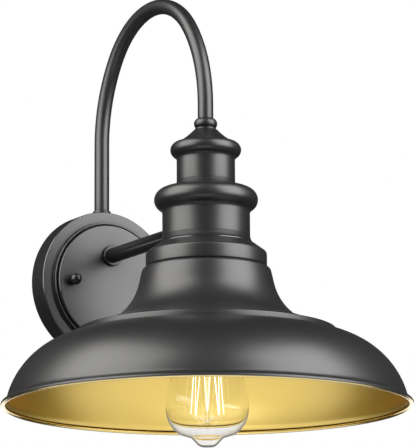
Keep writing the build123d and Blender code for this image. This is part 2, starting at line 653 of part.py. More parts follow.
def make_cup(top, bottom, bead_r, neck_r, foot_r):
    """Spun cup: flat top, round bead, cove, straight neck and a turned-out foot that seats below."""
    wrap = radians(BEAD_WRAP)
    bead_centre = neck_r + COVE_R * (1 - cos(wrap)) - bead_r * cos(wrap)
    foot_top = bottom + FOOT_LIP_H
    disc = Line((NIPPLE_HOLE_R, top), (bead_centre, top))
    bead = JernArc(disc @ 1, (1, 0), bead_r, -(90 + BEAD_WRAP))
    cove = JernArc(bead @ 1, bead % 1, COVE_R, BEAD_WRAP)
    neck = Line(cove @ 1, (neck_r, foot_top + FOOT_COVE_R))
    foot_cove = JernArc(neck @ 1, (0, -1), FOOT_COVE_R, 90)
    foot = Polyline(foot_cove @ 1, (foot_r, foot_top), (foot_r, bottom))
    return above_rim(spun(sheet(disc + bead + cove + neck + foot_cove + foot, CUP_SHEET)))


def make_upper_cup():
    return make_cup(UPPER_TOP, LOWER_TOP, UPPER_BEAD_R, UPPER_NECK_R, UPPER_FOOT_R)


def make_lower_cup():
    cup = make_cup(LOWER_TOP, FITTER_TOP, LOWER_BEAD_R, LOWER_NECK_R, LOWER_FOOT_R)
    arm_hole = towards_room(rod(NIPPLE_HOLE_R, -AXIS_Y - LOWER_NECK_R - TUBE_R, -AXIS_Y - LOWER_NECK_R / 2))
    return cup - Pos(0, 0, ARM_Z) * arm_hole


def make_fitter_collar():
    slope = tan(radians(FITTER_SHOULDER_ANGLE))
    corner_z = FITTER_TOP - (FITTER_R - FITTER_SHOULDER_R) * slope
    outline = FilletPolyline(
        (NIPPLE_HOLE_R, FITTER_TOP),
        (FITTER_SHOULDER_R, FITTER_TOP),
        (FITTER_R, corner_z),
        (FITTER_R, SHADE_TOP),
        (FLANGE_INNER_R, SHADE_TOP),
        radius=[FITTER_TOP_CORNER_R, FITTER_CORNER_R, FITTER_FOOT_CORNER_R],
    )
    collar = spun(sheet(outline, FITTER_SHEET))
    for place in screw_places():
        collar -= place * Cylinder(SHADE_SCREW_D / 2 + HOLE_PLAY, 3 * FITTER_SHEET)
    return above_rim(collar)


def screw_places():
    """Places of the shade's screws, on the seam between collar and shade."""
    step = 360 / SHADE_SCREW_COUNT
    return [Rot(0, 0, 90 + i * step) * Pos(SHADE_SCREW_CIRCLE_R, 0, SHADE_TOP) for i in range(SHADE_SCREW_COUNT)]


def shade_outline():
    """Outer path of the shade, from the edge of its top opening to the lip on the rim's bead."""
    flange = Line((FLANGE_INNER_R, SHADE_TOP), (BELL_TOP_R, SHADE_TOP))
    corner = JernArc(flange @ 1, (1, 0), BELL_CORNER_R, -BELL_WALL_ANGLE)
    wall = Line(corner @ 1, corner @ 1 + Vector(BELL_WALL_RUN, -BELL_WALL_H))
    flare = JernArc(wall @ 1, heading(BELL_WALL_ANGLE), BELL_FLARE_R, BELL_WALL_ANGLE - BELL_FLARE_ANGLE)
    apron = JernArc(flare @ 1, flare % 1, APRON_R, BELL_FLARE_ANGLE - BELL_FOOT_ANGLE)
    step = Line(apron @ 1, (STEP_R, STEP_HEIGHT))
    dome = JernArc(step @ 1, heading(DOME_TOP_ANGLE), DOME_R, DOME_TOP_ANGLE - DOME_END_ANGLE)
    flare_out = JernArc(dome @ 1, dome % 1, LIP_FLARE_R, LIP_FLARE_TURN)
    lip = Line(flare_out @ 1, (SHADE_RIM_R - RIM_BEAD_R, 2 * RIM_BEAD_R))
    return flange + corner + wall + flare + apron + step + dome + flare_out + lip


def make_shade():
    shell = spun(sheet(shade_outline(), SHADE_SHEET))
    bead = spun(Pos(SHADE_RIM_R - RIM_BEAD_R, RIM_BEAD_R) * Circle(RIM_BEAD_R))
    shade = shell + bead
    for place in screw_places():
        shade -= place * Cylinder(SHADE_SCREW_D / 2 + HOLE_PLAY, 3 * SHADE_SHEET)
    return above_rim(shade)


def make_shade_screws():
    reach = SHADE_SHEET + FITTER_SHEET + SHADE_NUT_H + SHADE_SCREW_STICK_OUT
    screw = Rot(180, 0, 0) * pan_screw(SHADE_SCREW_D, reach, SHADE_SCREW_HEAD_D, SHADE_SCREW_HEAD_H)
    return [above_rim(place * Pos(0, 0, -SHADE_SHEET) * screw) for place in screw_places()]


def make_shade_nuts():
    nut = Pos(0, 0, FITTER_SHEET) * hex_nut(SHADE_NUT_AF, SHADE_NUT_H, SHADE_SCREW_D / 2)
    return [above_rim(place * nut) for place in screw_places()]


# ---------------------------------------------------------------- lampholder
def make_stem_washer():
    return above_rim(ring(LOCK_WASHER_R, NIPPLE_HOLE_R, HUB_TOP, HUB_TOP + LOCK_WASHER_T))


def make_bracket():
    """Stamped bracket with a threaded hexagon hub that clamps the whole stack."""
    plate = extrude(SlotOverall(BRACKET_LENGTH, BRACKET_WIDTH), BRACKET_T)
    for x in (-HOLDER_SCREW_X, HOLDER_SCREW_X):
        plate -= Pos(x, 0, 0) * Cylinder(HOLDER_SCREW_D / 2 + HOLE_PLAY, CLEAR_THROUGH)
    plate -= Cylinder(NIPPLE_R, CLEAR_THROUGH)
    hub = Pos(0, 0, BRACKET_T) * hex_nut(LOCK_NUT_AF, HUB_TOP - HOLDER_TOP - BRACKET_T, NIPPLE_R)
    return above_rim(Pos(0, 0, HOLDER_TOP) * (plate + hub))


def make_holder_screws():
    screw = pan_screw(HOLDER_SCREW_D, HOLDER_SCREW_DEPTH, HOLDER_SCREW_HEAD_D, HOLDER_SCREW_HEAD_H)
    seat = HOLDER_TOP + BRACKET_T
    return [above_rim(Pos(x, 0, seat) * screw) for x in (-HOLDER_SCREW_X, HOLDER_SCREW_X)]


def make_holder_body():
    shoulder = HOLDER_TOP - HOLDER_NECK_H
    outline = FilletPolyline(
        (HOLDER_BORE_R, HOLDER_BOTTOM),
        (HOLDER_R, HOLDER_BOTTOM),
        (HOLDER_R, shoulder),
        (HOLDER_TOP_R, shoulder + HOLDER_SHOULDER_H),
        (HOLDER_TOP_R, HOLDER_TOP),
        (0, HOLDER_TOP),
        radius=HOLDER_EDGE_R,
    )
    inside = Polyline(
        (0, HOLDER_TOP),
        (0, CHAMBER_ROOF),
        (CHAMBER_R, CHAMBER_ROOF),
        (CHAMBER_R, SHELL_TOP),
        (HOLDER_BORE_R, SHELL_TOP),
        (HOLDER_BORE_R, HOLDER_BOTTOM),
    )
    body = spun(make_face(outline + inside))
    screw_bottom = HOLDER_TOP + BRACKET_T - HOLDER_SCREW_DEPTH
    for x in (-HOLDER_SCREW_X, HOLDER_SCREW_X):
        body -= Pos(x, 0, 0) * rod(HOLDER_SCREW_D / 2, screw_bottom, HOLDER_TOP)
    flat_bottom = TERMINAL_HEIGHT - TERMINAL_HEAD_D / 2
    flat_block = Box(2 * HOLDER_R, HOLDER_R, 2 * (HOLDER_TOP - flat_bottom), align=FLAT_ALIGN)
    for side in (0, 180):
        hole = rod(TERMINAL_D / 2, TERMINAL_FLAT - TERMINAL_DEPTH, TERMINAL_FLAT)
        body -= Rot(0, 0, side) * Pos(0, 0, TERMINAL_HEIGHT) * towards_room(hole)
        body -= Rot(0, 0, side) * Pos(0, -TERMINAL_FLAT, flat_bottom) * flat_block
    body -= Pos(0, -RIVET_X, 0) * rod(RIVET_D / 2, CHAMBER_ROOF, CHAMBER_ROOF + RIVET_DEPTH)
    return above_rim(body)


def make_screw_shell():
    """Brass screw shell: straight wall with a turned-in top."""
    bottom = HOLDER_BOTTOM + SHELL_RECESS
    outline = Polyline((SHELL_OPENING_R, SHELL_TOP), (SHELL_R, SHELL_TOP), (SHELL_R, bottom))
    return above_rim(spun(sheet(outline, SHELL_SHEET)))


def make_terminal_screws():
    screw = pan_screw(TERMINAL_D, TERMINAL_DEPTH, TERMINAL_HEAD_D, TERMINAL_HEAD_H)
    slot = Box(CLEAR_THROUGH, SCREW_SLOT_W, 2 * TERMINAL_SLOT_DEPTH)
    screw -= Pos(0, 0, TERMINAL_HEAD_H) * slot
    placed = Pos(0, 0, TERMINAL_HEIGHT) * towards_room(Pos(0, 0, TERMINAL_FLAT) * screw)
    return [above_rim(Rot(0, 0, side) * placed) for side in (0, 180)]


def make_contact_base():
    """Fixed strip on the chamber's roof, with the rivet that holds it."""
    strip = extrude(SlotOverall(CONTACT_BASE_LENGTH, CONTACT_STRIP_W), CONTACT_STRIP_T)
    base = Rot(0, 0, 90) * Pos(0, 0, CHAMBER_ROOF - CONTACT_STRIP_T) * strip
    low = CHAMBER_ROOF - CONTACT_STRIP_T - RIVET_HEAD_H
    base += Pos(0, -RIVET_X, 0) * rod(RIVET_HEAD_D / 2, low, CHAMBER_ROOF - CONTACT_STRIP_T)
    base += Pos(0, -RIVET_X, 0) * rod(RIVET_D / 2, low, CHAMBER_ROOF + RIVET_DEPTH)
    return above_rim(base)


def make_contact_tongue():
    """Sprung centre contact that the bulb presses on."""
    low = BULB_CONTACT_HEIGHT + CONTACT_REST_GAP
    strip = extrude(SlotOverall(CONTACT_TONGUE_LENGTH, CONTACT_STRIP_W), CONTACT_STRIP_T)
    tongue = Rot(0, 0, 90) * Pos(0, 0, low + CONTACT_STRIP_T / 2) * strip
    tongue += rod(CONTACT_BUTTON_D / 2, low, low + CONTACT_STRIP_T)
    return above_rim(tongue)


# ---------------------------------------------------------------- bulb
def make_bulb_cap():
    outline = Polyline((CAP_OPENING_R, CAP_TOP), (CAP_R, CAP_TOP), (CAP_R, CAP_BOTTOM))
    return above_rim(spun(sheet(outline, CAP_SHEET)))


def make_bulb_insulator():
    outline = Polyline(
        (0, CAP_TOP - CAP_SHEET),
        (CAP_OPENING_R, CAP_TOP - CAP_SHEET),
        (CAP_OPENING_R, CAP_TOP),
        (INSULATOR_TOP_R, INSULATOR_TOP),
        (0, INSULATOR_TOP),
        (0, CAP_TOP - CAP_SHEET),
    )
    return above_rim(spun(make_face(outline)))


def make_bulb_contact():
    body = rod(CONTACT_R, INSULATOR_TOP, BULB_CONTACT_HEIGHT)
    return above_rim(fillet(body.edges().group_by(Axis.Z)[-1], CONTACT_EDGE_R))


def glass_outline():
    """Outer path of the envelope, from the top of its neck to the tip."""
    taper_turn = atan2(GLASS_R - GLASS_NECK_R, GLASS_TAPER_H)
    belly_r = GLASS_BELLY_SHARE * GLASS_BELLY_H / tan(taper_turn / 2)
    side = FilletPolyline(
        (GLASS_NECK_R, GLASS_NECK_TOP),
        (GLASS_NECK_R, GLASS_TAPER_TOP),
        (GLASS_R, GLASS_TAPER_BOTTOM),
        (GLASS_R, GLASS_WIDEST),
        radius=[GLASS_NECK_COVE_R, belly_r],
    )
    bowl = JernArc(side @ 1, (0, -1), GLASS_BOWL_R, -GLASS_BOWL_TURN)
    tip = FilletPolyline(
        bowl @ 1,
        (GLASS_TIP_BASE_R, BULB_TIP_HEIGHT + GLASS_TIP_BASE_H),
        (GLASS_TIP_CORNER_R, BULB_TIP_HEIGHT),
        (0, BULB_TIP_HEIGHT),
        radius=[GLASS_TIP_COVE_R, GLASS_TIP_ROUND_R],
    )
    return side + bowl + tip


def make_bulb_glass():
    return above_rim(spun(sheet(glass_outline(), GLASS_WALL)))


def make_bulb_stem():
    """Glass stem: a hollow flare sealed in the neck, drawn down to a rod with a rounded end."""
    trumpet = Polyline(
        (STEM_FLARE_R, STEM_FLARE_TOP + STEM_FLARE_WALL),
        (STEM_FLARE_R, STEM_FLARE_TOP),
        (STEM_PRESS_R, STEM_FLARE_BOTTOM),
        (0, STEM_FLARE_BOTTOM),
    )
    flare = spun(make_face(offset(trumpet, STEM_FLARE_WALL, side=Side.RIGHT, kind=Kind.INTERSECTION)))
    body = flare + rod(STEM_ROD_R, STEM_BOTTOM, STEM_FLARE_BOTTOM)
    body += Pos(0, 0, STEM_BOTTOM) * Sphere(STEM_END_R)
    return above_rim(body)


def hook_points(height, radius, phase):
    """Hooks of one end of the cage, evenly spaced round the stem."""
    step = 2 * radians(180) / CAGE_HOOKS
    angles = [(i + phase) * step for i in range(CAGE_HOOKS)]
    return [Vector(radius * cos(a), radius * sin(a), height) for a in angles]


def bar_between(start, end, radius):
    """A thin round bar from one point to another."""
    along = end - start
    plane = Plane(origin=start, z_dir=along)
    return extrude(plane * Circle(radius), along.length)


def make_bulb_filament():
    """Hairpin filament that zigzags between the upper and the lower hooks."""
    upper = hook_points(CAGE_TOP, CAGE_TOP_R, 0)
    lower = hook_points(CAGE_BOTTOM, CAGE_BOTTOM_R, 0.5)
    points = [point for pair in zip(upper, lower) for point in pair]
    body = Pos(*points[0]) * Sphere(HOOK_R)
    for start, end in zip(points[:-1], points[1:]):
        body += bar_between(start, end, FILAMENT_R)
        body += Pos(*end) * Sphere(HOOK_R)
    return above_rim(body)


def make_bulb_supports(stem):
    """Fine wires from the stem to each hook of the filament."""
    wires = []
    for height, radius, phase in ((CAGE_TOP, CAGE_TOP_R, 0), (CAGE_BOTTOM, CAGE_BOTTOM_R, 0.5)):
        root = Vector(0, 0, height - SUPPORT_ROOT_DROP)
        for hook in hook_points(height, radius, phase):
            tip = hook - (hook - root).normalized() * HOOK_R
            wires.append(above_rim(bar_between(root, tip, SUPPORT_R)) - stem)
    return wires


# ---------------------------------------------------------------- build and write
def build_nodes():
    left_x = -STUD_SPACING / 2
    right_x = STUD_SPACING / 2
    stem = make_bulb_stem()
    return {
        "wall_gasket": make_gasket(),
        "mounting_strap": make_strap(),
        "strap_studs": make_studs(),
        "stud_nuts": make_stud_nuts(),
        "ground_screw": make_ground_screw(),
        "canopy": make_canopy(),
        "nut_washer_left": make_nut_washer(left_x),
        "nut_washer_right": make_nut_washer(right_x),
        "ball_nut_left": make_ball_nut(left_x),
        "ball_nut_right": make_ball_nut(right_x),
        "gooseneck_tube": make_gooseneck_tube(),
        "gooseneck_bushing": make_bushing(),
        "gooseneck_saddle": make_gooseneck_saddle(),
        "gooseneck_nut": make_gooseneck_nut(),
        "gooseneck_nipple": make_gooseneck_nipple(),
        "arm_tube": make_arm_tube(),
        "arm_collar": make_arm_collar(),
        "arm_wall_nipple": make_arm_wall_nipple(),
        "arm_wall_washer": make_arm_wall_washer(),
        "arm_wall_nut": make_arm_wall_nut(),
        "arm_shade_nipple": make_arm_shade_nipple(),
        "arm_shade_saddle": make_arm_shade_saddle(),
        "arm_shade_nut": make_arm_shade_nut(),
        "stem_nipple": make_stem_nipple(),
        "ball_coupling": make_ball_coupling(),
        "cone_cap": make_cone_cap(),
        "upper_cup": make_upper_cup(),
        "lower_cup": make_lower_cup(),
        "fitter_collar": make_fitter_collar(),
        "shade": make_shade(),
        "shade_screws": make_shade_screws(),
        "shade_nuts": make_shade_nuts(),
        "stem_washer": make_stem_washer(),
        "holder_bracket": make_bracket(),
        "holder_screws": make_holder_screws(),
        "holder_body": make_holder_body(),
        "screw_shell": make_screw_shell(),
        "terminal_screws": make_terminal_screws(),
        "contact_base": make_contact_base(),
        "contact_tongue": make_contact_tongue(),
        "bulb_cap": make_bulb_cap(),
        "bulb_insulator": make_bulb_insulator(),
        "bulb_contact": make_bulb_contact(),
        "bulb_glass": make_bulb_glass(),
        "bulb_stem": stem,
        "bulb_filament": make_bulb_filament(),
        "bulb_supports": make_bulb_supports(stem),
    }


def write_node(name, shape):
    """Writes one sub-part, whose solids may be several equal fasteners."""
    items = shape if isinstance(shape, list) else [shape]
    solids = [solid for item in items for solid in item.solids()]
    body = solids[0] if len(solids) == 1 else Compound(children=solids)
    export_step(body, "parts/" + name + ".step")


os.makedirs("parts", exist_ok=True)
for node_name, node_shape in build_nodes().items():
    write_node(node_name, node_shape)
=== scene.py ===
"""Looks of the outdoor gooseneck wall lantern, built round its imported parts.

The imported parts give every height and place. Outlines are drawn in millimetres, as radius from an
axis and height along it, and spun the way the real sheet metal and glass are. Angles are in
degrees, and a heading is counted downwards from horizontal.
"""
import json
from math import acos, atan2, ceil, cos, degrees, hypot, pi, radians, sin, sqrt, tan

import bpy
from mathutils import Matrix, Vector


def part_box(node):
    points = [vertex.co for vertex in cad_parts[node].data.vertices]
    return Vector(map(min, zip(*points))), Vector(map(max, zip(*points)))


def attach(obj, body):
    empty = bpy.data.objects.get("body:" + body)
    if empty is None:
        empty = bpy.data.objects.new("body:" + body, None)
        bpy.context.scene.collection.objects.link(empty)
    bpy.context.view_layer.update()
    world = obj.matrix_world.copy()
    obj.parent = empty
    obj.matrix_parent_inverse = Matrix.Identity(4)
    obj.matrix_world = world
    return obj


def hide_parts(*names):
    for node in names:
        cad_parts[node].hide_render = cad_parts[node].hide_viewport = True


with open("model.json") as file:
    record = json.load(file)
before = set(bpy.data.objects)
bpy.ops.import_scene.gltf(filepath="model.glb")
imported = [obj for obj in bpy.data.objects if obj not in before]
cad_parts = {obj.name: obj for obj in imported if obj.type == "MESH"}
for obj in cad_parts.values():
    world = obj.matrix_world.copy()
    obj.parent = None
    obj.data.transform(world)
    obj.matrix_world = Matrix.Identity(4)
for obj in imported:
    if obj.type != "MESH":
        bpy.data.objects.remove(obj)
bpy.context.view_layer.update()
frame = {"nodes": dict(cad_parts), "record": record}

MM = 0.001
WELD = 0.0005 * MM                  # corners nearer to each other than this are one

# -------------------------------- places and heights from the parts
shade_low, shade_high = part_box("shade")
AXIS = Vector((0, (shade_low.y + shade_high.y) / 2, shade_low.z))      # centre of the shade's rim
WALL = Vector((0, 0, 0))                                               # centre of the canopy's back
OUT = Vector((1, 0, 0))
UP = Vector((0, 0, 1))
ROOM = Vector((0, -1, 0))
CAMERA_AZIMUTH = -31.69             # bearing of the main view, from the room side


def top_of(node):
    """Height of a part's top above the shade's rim, in millimetres."""
    return (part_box(node)[1].z - AXIS.z) / MM


def bottom_of(node):
    """Height of a part's underside above the shade's rim, in millimetres."""
    return (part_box(node)[0].z - AXIS.z) / MM


def reach_of(node):
    """How far a part stands out from the wall, in millimetres."""
    return -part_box(node)[0].y / MM


def radius_of(node):
    """Half of a part's width, in millimetres."""
    low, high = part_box(node)
    return (high.x - low.x) / 2 / MM


def direction(azimuth, elevation):
    """Unit vector towards a bearing, from the room side, and a height in degrees."""
    a, e = radians(azimuth), radians(elevation)
    return Vector((sin(a) * cos(e), -cos(a) * cos(e), sin(e)))


RIM_R = radius_of("shade")
SHADE_TOP = top_of("shade")
COLLAR_R = radius_of("fitter_collar")
COLLAR_TOP = top_of("fitter_collar")
CONE_TOP = top_of("cone_cap")
COUPLING_TOP = top_of("ball_coupling")
CANOPY_R = radius_of("canopy")
DISC_DEPTH = reach_of("canopy")
TUBE_R = radius_of("arm_tube")
ARM_Z = sum(corner.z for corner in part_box("arm_tube")) / 2
LEG_Y = sum(corner.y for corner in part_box("gooseneck_bushing")) / 2

# the spun tops dish a little below their hubs
UPPER_SEAT = top_of("upper_cup") - 0.8
LOWER_SEAT = top_of("lower_cup") - 0.9
COLLAR_SEAT = COLLAR_TOP - 0.8


# -------------------------------- outlines
class Outline:
    """A section drawn as radius and height, with a heading in degrees below horizontal."""

    CHORD_ERROR = 0.008
    WIDEST_STEP = 9.0

    def __init__(self, radius, height, heading=0.0):
        self.points = [(radius, height)]
        self.heading = heading

    def to(self, radius, height):
        """Goes straight to a point."""
        here = self.points[-1]
        self.heading = degrees(atan2(here[1] - height, radius - here[0]))
        self.points.append((radius, height))
        return self

    def run(self, length):
        """Goes straight on."""
        turn = radians(self.heading)
        here = self.points[-1]
        return self.to(here[0] + length * cos(turn), here[1] - length * sin(turn))

    def bend(self, radius, turn):
        """Follows an arc: a positive turn bends downwards, a negative one upwards."""
        side = 1 if turn > 0 else -1
        start = radians(self.heading)
        here = self.points[-1]
        centre = (here[0] - side * radius * sin(start), here[1] - side * radius * cos(start))
        step = 2 * degrees(acos(1 - min(0.5, self.CHORD_ERROR / radius)))
        count = max(2, ceil(abs(turn) / min(self.WIDEST_STEP, step)))
        for i in range(1, count + 1):
            at = start + radians(turn) * i / count
            out = centre[0] + side * radius * sin(at)
            self.points.append((out, centre[1] + side * radius * cos(at)))
        self.heading += turn
        return self


def rounded(corners):
    """Points of a line through corners, each given as radius, height and its rounding."""
    path = Outline(corners[0][0], corners[0][1])
    for before, corner, after in zip(corners, corners[1:], corners[2:]):
        here = Vector(corner[:2])
        back = (Vector(before[:2]) - here).normalized()
        ahead = (Vector(after[:2]) - here).normalized()
        opening = back.angle(ahead)
        if corner[2] <= 0 or abs(pi - opening) < 1e-4:
            path.to(*here)
            continue
        start = here + back * (corner[2] / tan(opening / 2))
        path.to(*start)
        turning = -back.x * ahead.y + back.y * ahead.x
        path.bend(corner[2], degrees(pi - opening) * (-1 if turning > 0 else 1))
    path.to(*corners[-1][:2])
    return path.points


def arc_points(centre, radius, start, end, count):
    """Points of an arc about a centre, between two angles in radians."""
    return [
        (
            centre[0] + radius * cos(start + (end - start) * i / count),
            centre[1] + radius * sin(start + (end - start) * i / count),
        )
        for i in range(count + 1)
    ]


def three_point_arc(start, middle, end, count):
    """Points of the arc through three points."""
    ax, ay = start
    bx, by = middle
    cx, cy = end
    d = 2 * (ax * (by - cy) + bx * (cy - ay) + cx * (ay - by))
    a, b, c = ax**2 + ay**2, bx**2 + by**2, cx**2 + cy**2
    ux = (a * (by - cy) + b * (cy - ay) + c * (ay - by)) / d
    uy = (a * (cx - bx) + b * (ax - cx) + c * (bx - ax)) / d
    first, last = atan2(ay - uy, ax - ux), atan2(cy - uy, cx - ux)
    return arc_points((ux, uy), hypot(ax - ux, ay - uy), first, last, count)


def offset_points(points, thickness):
    """The same line, moved to its inner side with mitred corners."""
    moved = []
    for i, point in enumerate(points):
        sides = []
        for a, b in ((i - 1, i), (i, i + 1)):
            if a >= 0 and b < len(points):
                along = (Vector(points[b]) - Vector(points[a])).normalized()
                sides.append(Vector((along.y, -along.x)))
        middle = sum(sides, Vector((0, 0))).normalized()
        moved.append(tuple(Vector(point) + middle * (thickness / middle.dot(sides[0]))))
    return moved


def sheet(points, thickness):
    """Closed section of a sheet whose outer face follows the points."""
    return points + offset_points(points, thickness)[::-1]


# -------------------------------- modelling
def lone(kind, **settings):
    """Adds a primitive with nothing else selected, and bakes its place into its mesh."""
    bpy.ops.object.select_all(action="DESELECT")
    getattr(bpy.ops.mesh, "primitive_" + kind + "_add")(**settings)
    bpy.ops.object.transform_apply(location=True, rotation=True, scale=True)
    return bpy.context.object


def finish_piece(piece, name, crease=30.0):
    """Names a piece, closes its seams, turns its faces outwards and smooths it."""
    piece.name = name
    piece.data.name = name
    bpy.ops.object.mode_set(mode="EDIT")
    bpy.ops.mesh.select_all(action="SELECT")
    bpy.ops.mesh.remove_doubles(threshold=WELD)
    bpy.ops.mesh.normals_make_consistent(inside=False)
    bpy.ops.object.mode_set(mode="OBJECT")
    bpy.ops.object.shade_smooth_by_angle(angle=radians(crease))
    return piece


def draw(places):
    """Draws a chain of edges, one extruded corner after another, and stays in edit mode."""
    piece = lone("plane", size=MM, location=places[0])
    bpy.ops.object.mode_set(mode="EDIT")
    bpy.ops.mesh.select_mode(type="VERT")
    bpy.ops.mesh.select_all(action="SELECT")
    bpy.ops.mesh.merge(type="CENTER")
    for here, there in zip(places, places[1:]):
        bpy.ops.mesh.extrude_vertices_move(TRANSFORM_OT_translate={"value": there - here})
    return piece


def lathe(name, points, origin=AXIS, along=UP, steps=144, closed=True, crease=30.0):
    """Draws an outline and spins it round its axis."""
    path = points + points[:1] if closed else points
    piece = draw([origin + OUT * out * MM + along * up * MM for out, up in path])
    bpy.ops.mesh.select_all(action="SELECT")
    bpy.ops.mesh.remove_doubles(threshold=WELD)
    bpy.ops.mesh.select_all(action="SELECT")
    bpy.ops.mesh.spin(steps=steps, angle=2 * pi, center=origin, axis=along, use_auto_merge=True)
    bpy.ops.object.mode_set(mode="OBJECT")
    return finish_piece(piece, name, crease)


def roll_thread(piece, low, high, pitch, depth, origin=AXIS, along=UP):
    """Rolls a round right-hand thread into a turned skin, fading out at both ends."""
    third = along.cross(OUT)
    for corner in piece.data.vertices:
        up = (corner.co - origin).dot(along)
        away = corner.co - origin - along * up
        turn = atan2(away.dot(third), away.dot(OUT))
        fade = max(0.0, min(1.0, (up / MM - low) / pitch, (high - up / MM) / pitch))
        wave = 0.5 - 0.5 * cos(2 * pi * up / MM / pitch - turn)
        corner.co -= away.normalized() * depth * fade * wave * MM
    piece.data.update()


def thicken(piece, wall):
    """Gives an open skin its wall, inwards."""
    bpy.ops.object.modifier_add(type="SOLIDIFY")
    piece.modifiers[-1].thickness = wall * MM
    piece.modifiers[-1].offset = -1
    bpy.ops.object.modifier_apply(modifier=piece.modifiers[-1].name)


def join(pieces):
    """Makes one piece of several."""
    for piece in pieces:
        piece.select_set(True)
    if len(pieces) > 1:
        bpy.ops.object.join()
    return bpy.context.object


def dress(piece, node, body="lantern", finish=None):
    """Puts a finished piece on its body in place of a part, with the part's slot and finish."""
    slot = NODE_SLOT[node]
    piece.data.materials.clear()
    piece.data.materials.append(finish or FINISHES[slot])
    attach(piece, body)
    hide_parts(node)
    return piece


def turn_out(name, node, points, *where, **settings):
    """Spins or turns a piece of the lantern in place of a part."""
    return dress(lathe(name, points, *where, **settings), node)


def repaint(piece, finish, chosen):
    """Gives the chosen faces of a piece another finish."""
    piece.data.materials.append(finish)
    for face in piece.data.polygons:
        if chosen(face):
            face.material_index = len(piece.data.materials) - 1


def spot(face):
    """Radius and height of a face's middle on the shade's axis, in millimetres."""
    out = hypot(face.center.x - AXIS.x, face.center.y - AXIS.y) / MM
    return out, (face.center.z - AXIS.z) / MM


# -------------------------------- shader helpers
class Value:
    """A number socket that takes part in written arithmetic."""

    def __init__(self, finish, socket):
        self.finish, self.socket = finish, socket

    def joined(self, operation, other):
        node = self.finish.node("Math", {"operation": operation}, {0: self, 1: other})
        return Value(self.finish, node.outputs[0])

    def __add__(self, other):
        return self.joined("ADD", other)

    def __mul__(self, other):
        return self.joined("MULTIPLY", other)

    def __pow__(self, other):
        return self.joined("POWER", other)

    __radd__ = __add__
    __rmul__ = __mul__


class Finish:
    """A material or world whose nodes are made by one method."""

    def __init__(self, owner):
        self.owner = owner
        owner.use_nodes = True
        self.tree = owner.node_tree
        self.tree.nodes.clear()

    def node(self, kind, settings=None, sockets=None):
        node = self.tree.nodes.new("ShaderNode" + kind)
        for name, setting in (settings or {}).items():
            setattr(node, name, setting)
        for name, value in (sockets or {}).items():
            if isinstance(value, Value):
                value = value.socket
            if isinstance(value, bpy.types.NodeSocket):
                self.tree.links.new(value, node.inputs[name])
            else:
                node.inputs[name].default_value = value
        return node

    def value(self, kind, settings=None, sockets=None, output=0):
        return Value(self, self.node(kind, settings, sockets).outputs[output])

    def noise(self, scale, detail=2.0, roughness=0.5, place=None):
        """Noise on the object's own coordinates, at a scale per metre."""
        place = place or self.node("TexCoord").outputs["Object"]
        return self.value("TexNoise", None, {
            "Vector": place, "Scale": scale, "Detail": detail, "Roughness": roughness,
        })

    def placed(self, location=(0, 0, 0), scale=(1, 1, 1)):
        """The object's own coordinates, counted from another place and in other units."""
        return self.node("Mapping", {"vector_type": "TEXTURE"}, {
            "Vector": self.node("TexCoord").outputs["Object"], "Location": location, "Scale": scale,
        }).outputs[0]

    def blend(self, factor, first, second):
        """A colour between two colours."""
        colours = {"Factor": factor, 6: (*first, 1), 7: (*second, 1)}
        return self.node("Mix", {"data_type": "RGBA"}, colours).outputs[2]

    def bump(self, height, strength, depth):
        sockets = {"Height": height, "Strength": strength, "Distance": depth}
        return self.node("Bump", None, sockets).outputs[0]

    def white_light(self, kind, strength):
        """White light given off at a steady strength."""
        return self.node(kind, None, {"Color": (1, 1, 1, 1), "Strength": strength}).outputs[0]

    def either(self, factor, first, second):
        """One shader, or another where the factor is one."""
        return self.node("MixShader", None, {"Fac": factor, 1: first, 2: second}).outputs[0]

    def surface(self, sockets):
        """Closes the material with a shader that takes these sockets."""
        shader = self.node("BsdfPrincipled", None, sockets)
        self.node("OutputMaterial", None, {"Surface": shader.outputs[0]})
        return self.owner


def new_finish(name):
    return Finish(bpy.data.materials.new(name))


# -------------------------------- finishes
GLASS_IOR = 1.42


def black_coat(name, shine, roughness, ior):
    """Baked satin black coat: fine even grain, a little cloudy, with painted shade dimming it in
    creases.
    """
    finish = new_finish(name)
    cloud = finish.noise(26.0, 3.0)
    grain = finish.noise(1500.0, 2.0, 0.6)
    peel = finish.noise(420.0, 1.0)
    # ambient occlusion lowers the coat's reflection in creases and recesses: painted shade
    ao_painted_shade = finish.value("AmbientOcclusion", {"samples": 6}, {"Distance": 0.030}, "AO")
    return finish.surface({
        "Base Color": finish.blend(cloud, (0.0088, 0.0081, 0.0084), (0.0132, 0.0122, 0.0125)),
        "Roughness": 0.40 + 0.06 * cloud + 0.04 * grain,
        "IOR": 1.35,
        "Coat Weight": (0.92 + 0.08 * peel) * ao_painted_shade ** 1.3 * shine,
        "Coat IOR": ior,
        "Coat Roughness": roughness,
        "Normal": finish.bump(grain + 1.6 * peel, 0.10, 0.00005),
    })


def gold_lining():
    """Lacquered gold inside the shade, with the faint rings that spinning leaves under it."""
    finish = new_finish("lacquered_gold_lining")
    rings = finish.noise(9.0, 2.0, place=finish.placed(scale=(1, 1, 0.02)))
    cloud = finish.noise(22.0, 2.0)
    grain = finish.noise(750.0, 3.0, 0.6)
    mottle = cloud * 0.4 + rings * 0.3 + grain * 0.3
    return finish.surface({
        "Base Color": finish.blend(mottle, (0.82, 0.56, 0.030), (0.90, 0.64, 0.060)),
        "Metallic": 1.0,
        "Specular Tint": (1.0, 0.45, 0.01, 1),
        "Roughness": 0.40 + 0.07 * cloud,
        "Coat Weight": 0.85 + 0.15 * cloud,
        "Coat IOR": 2.3,
        "Coat Roughness": 0.35,
        "Normal": finish.bump(grain + 0.8 * rings, 0.22, 0.00006),
    })


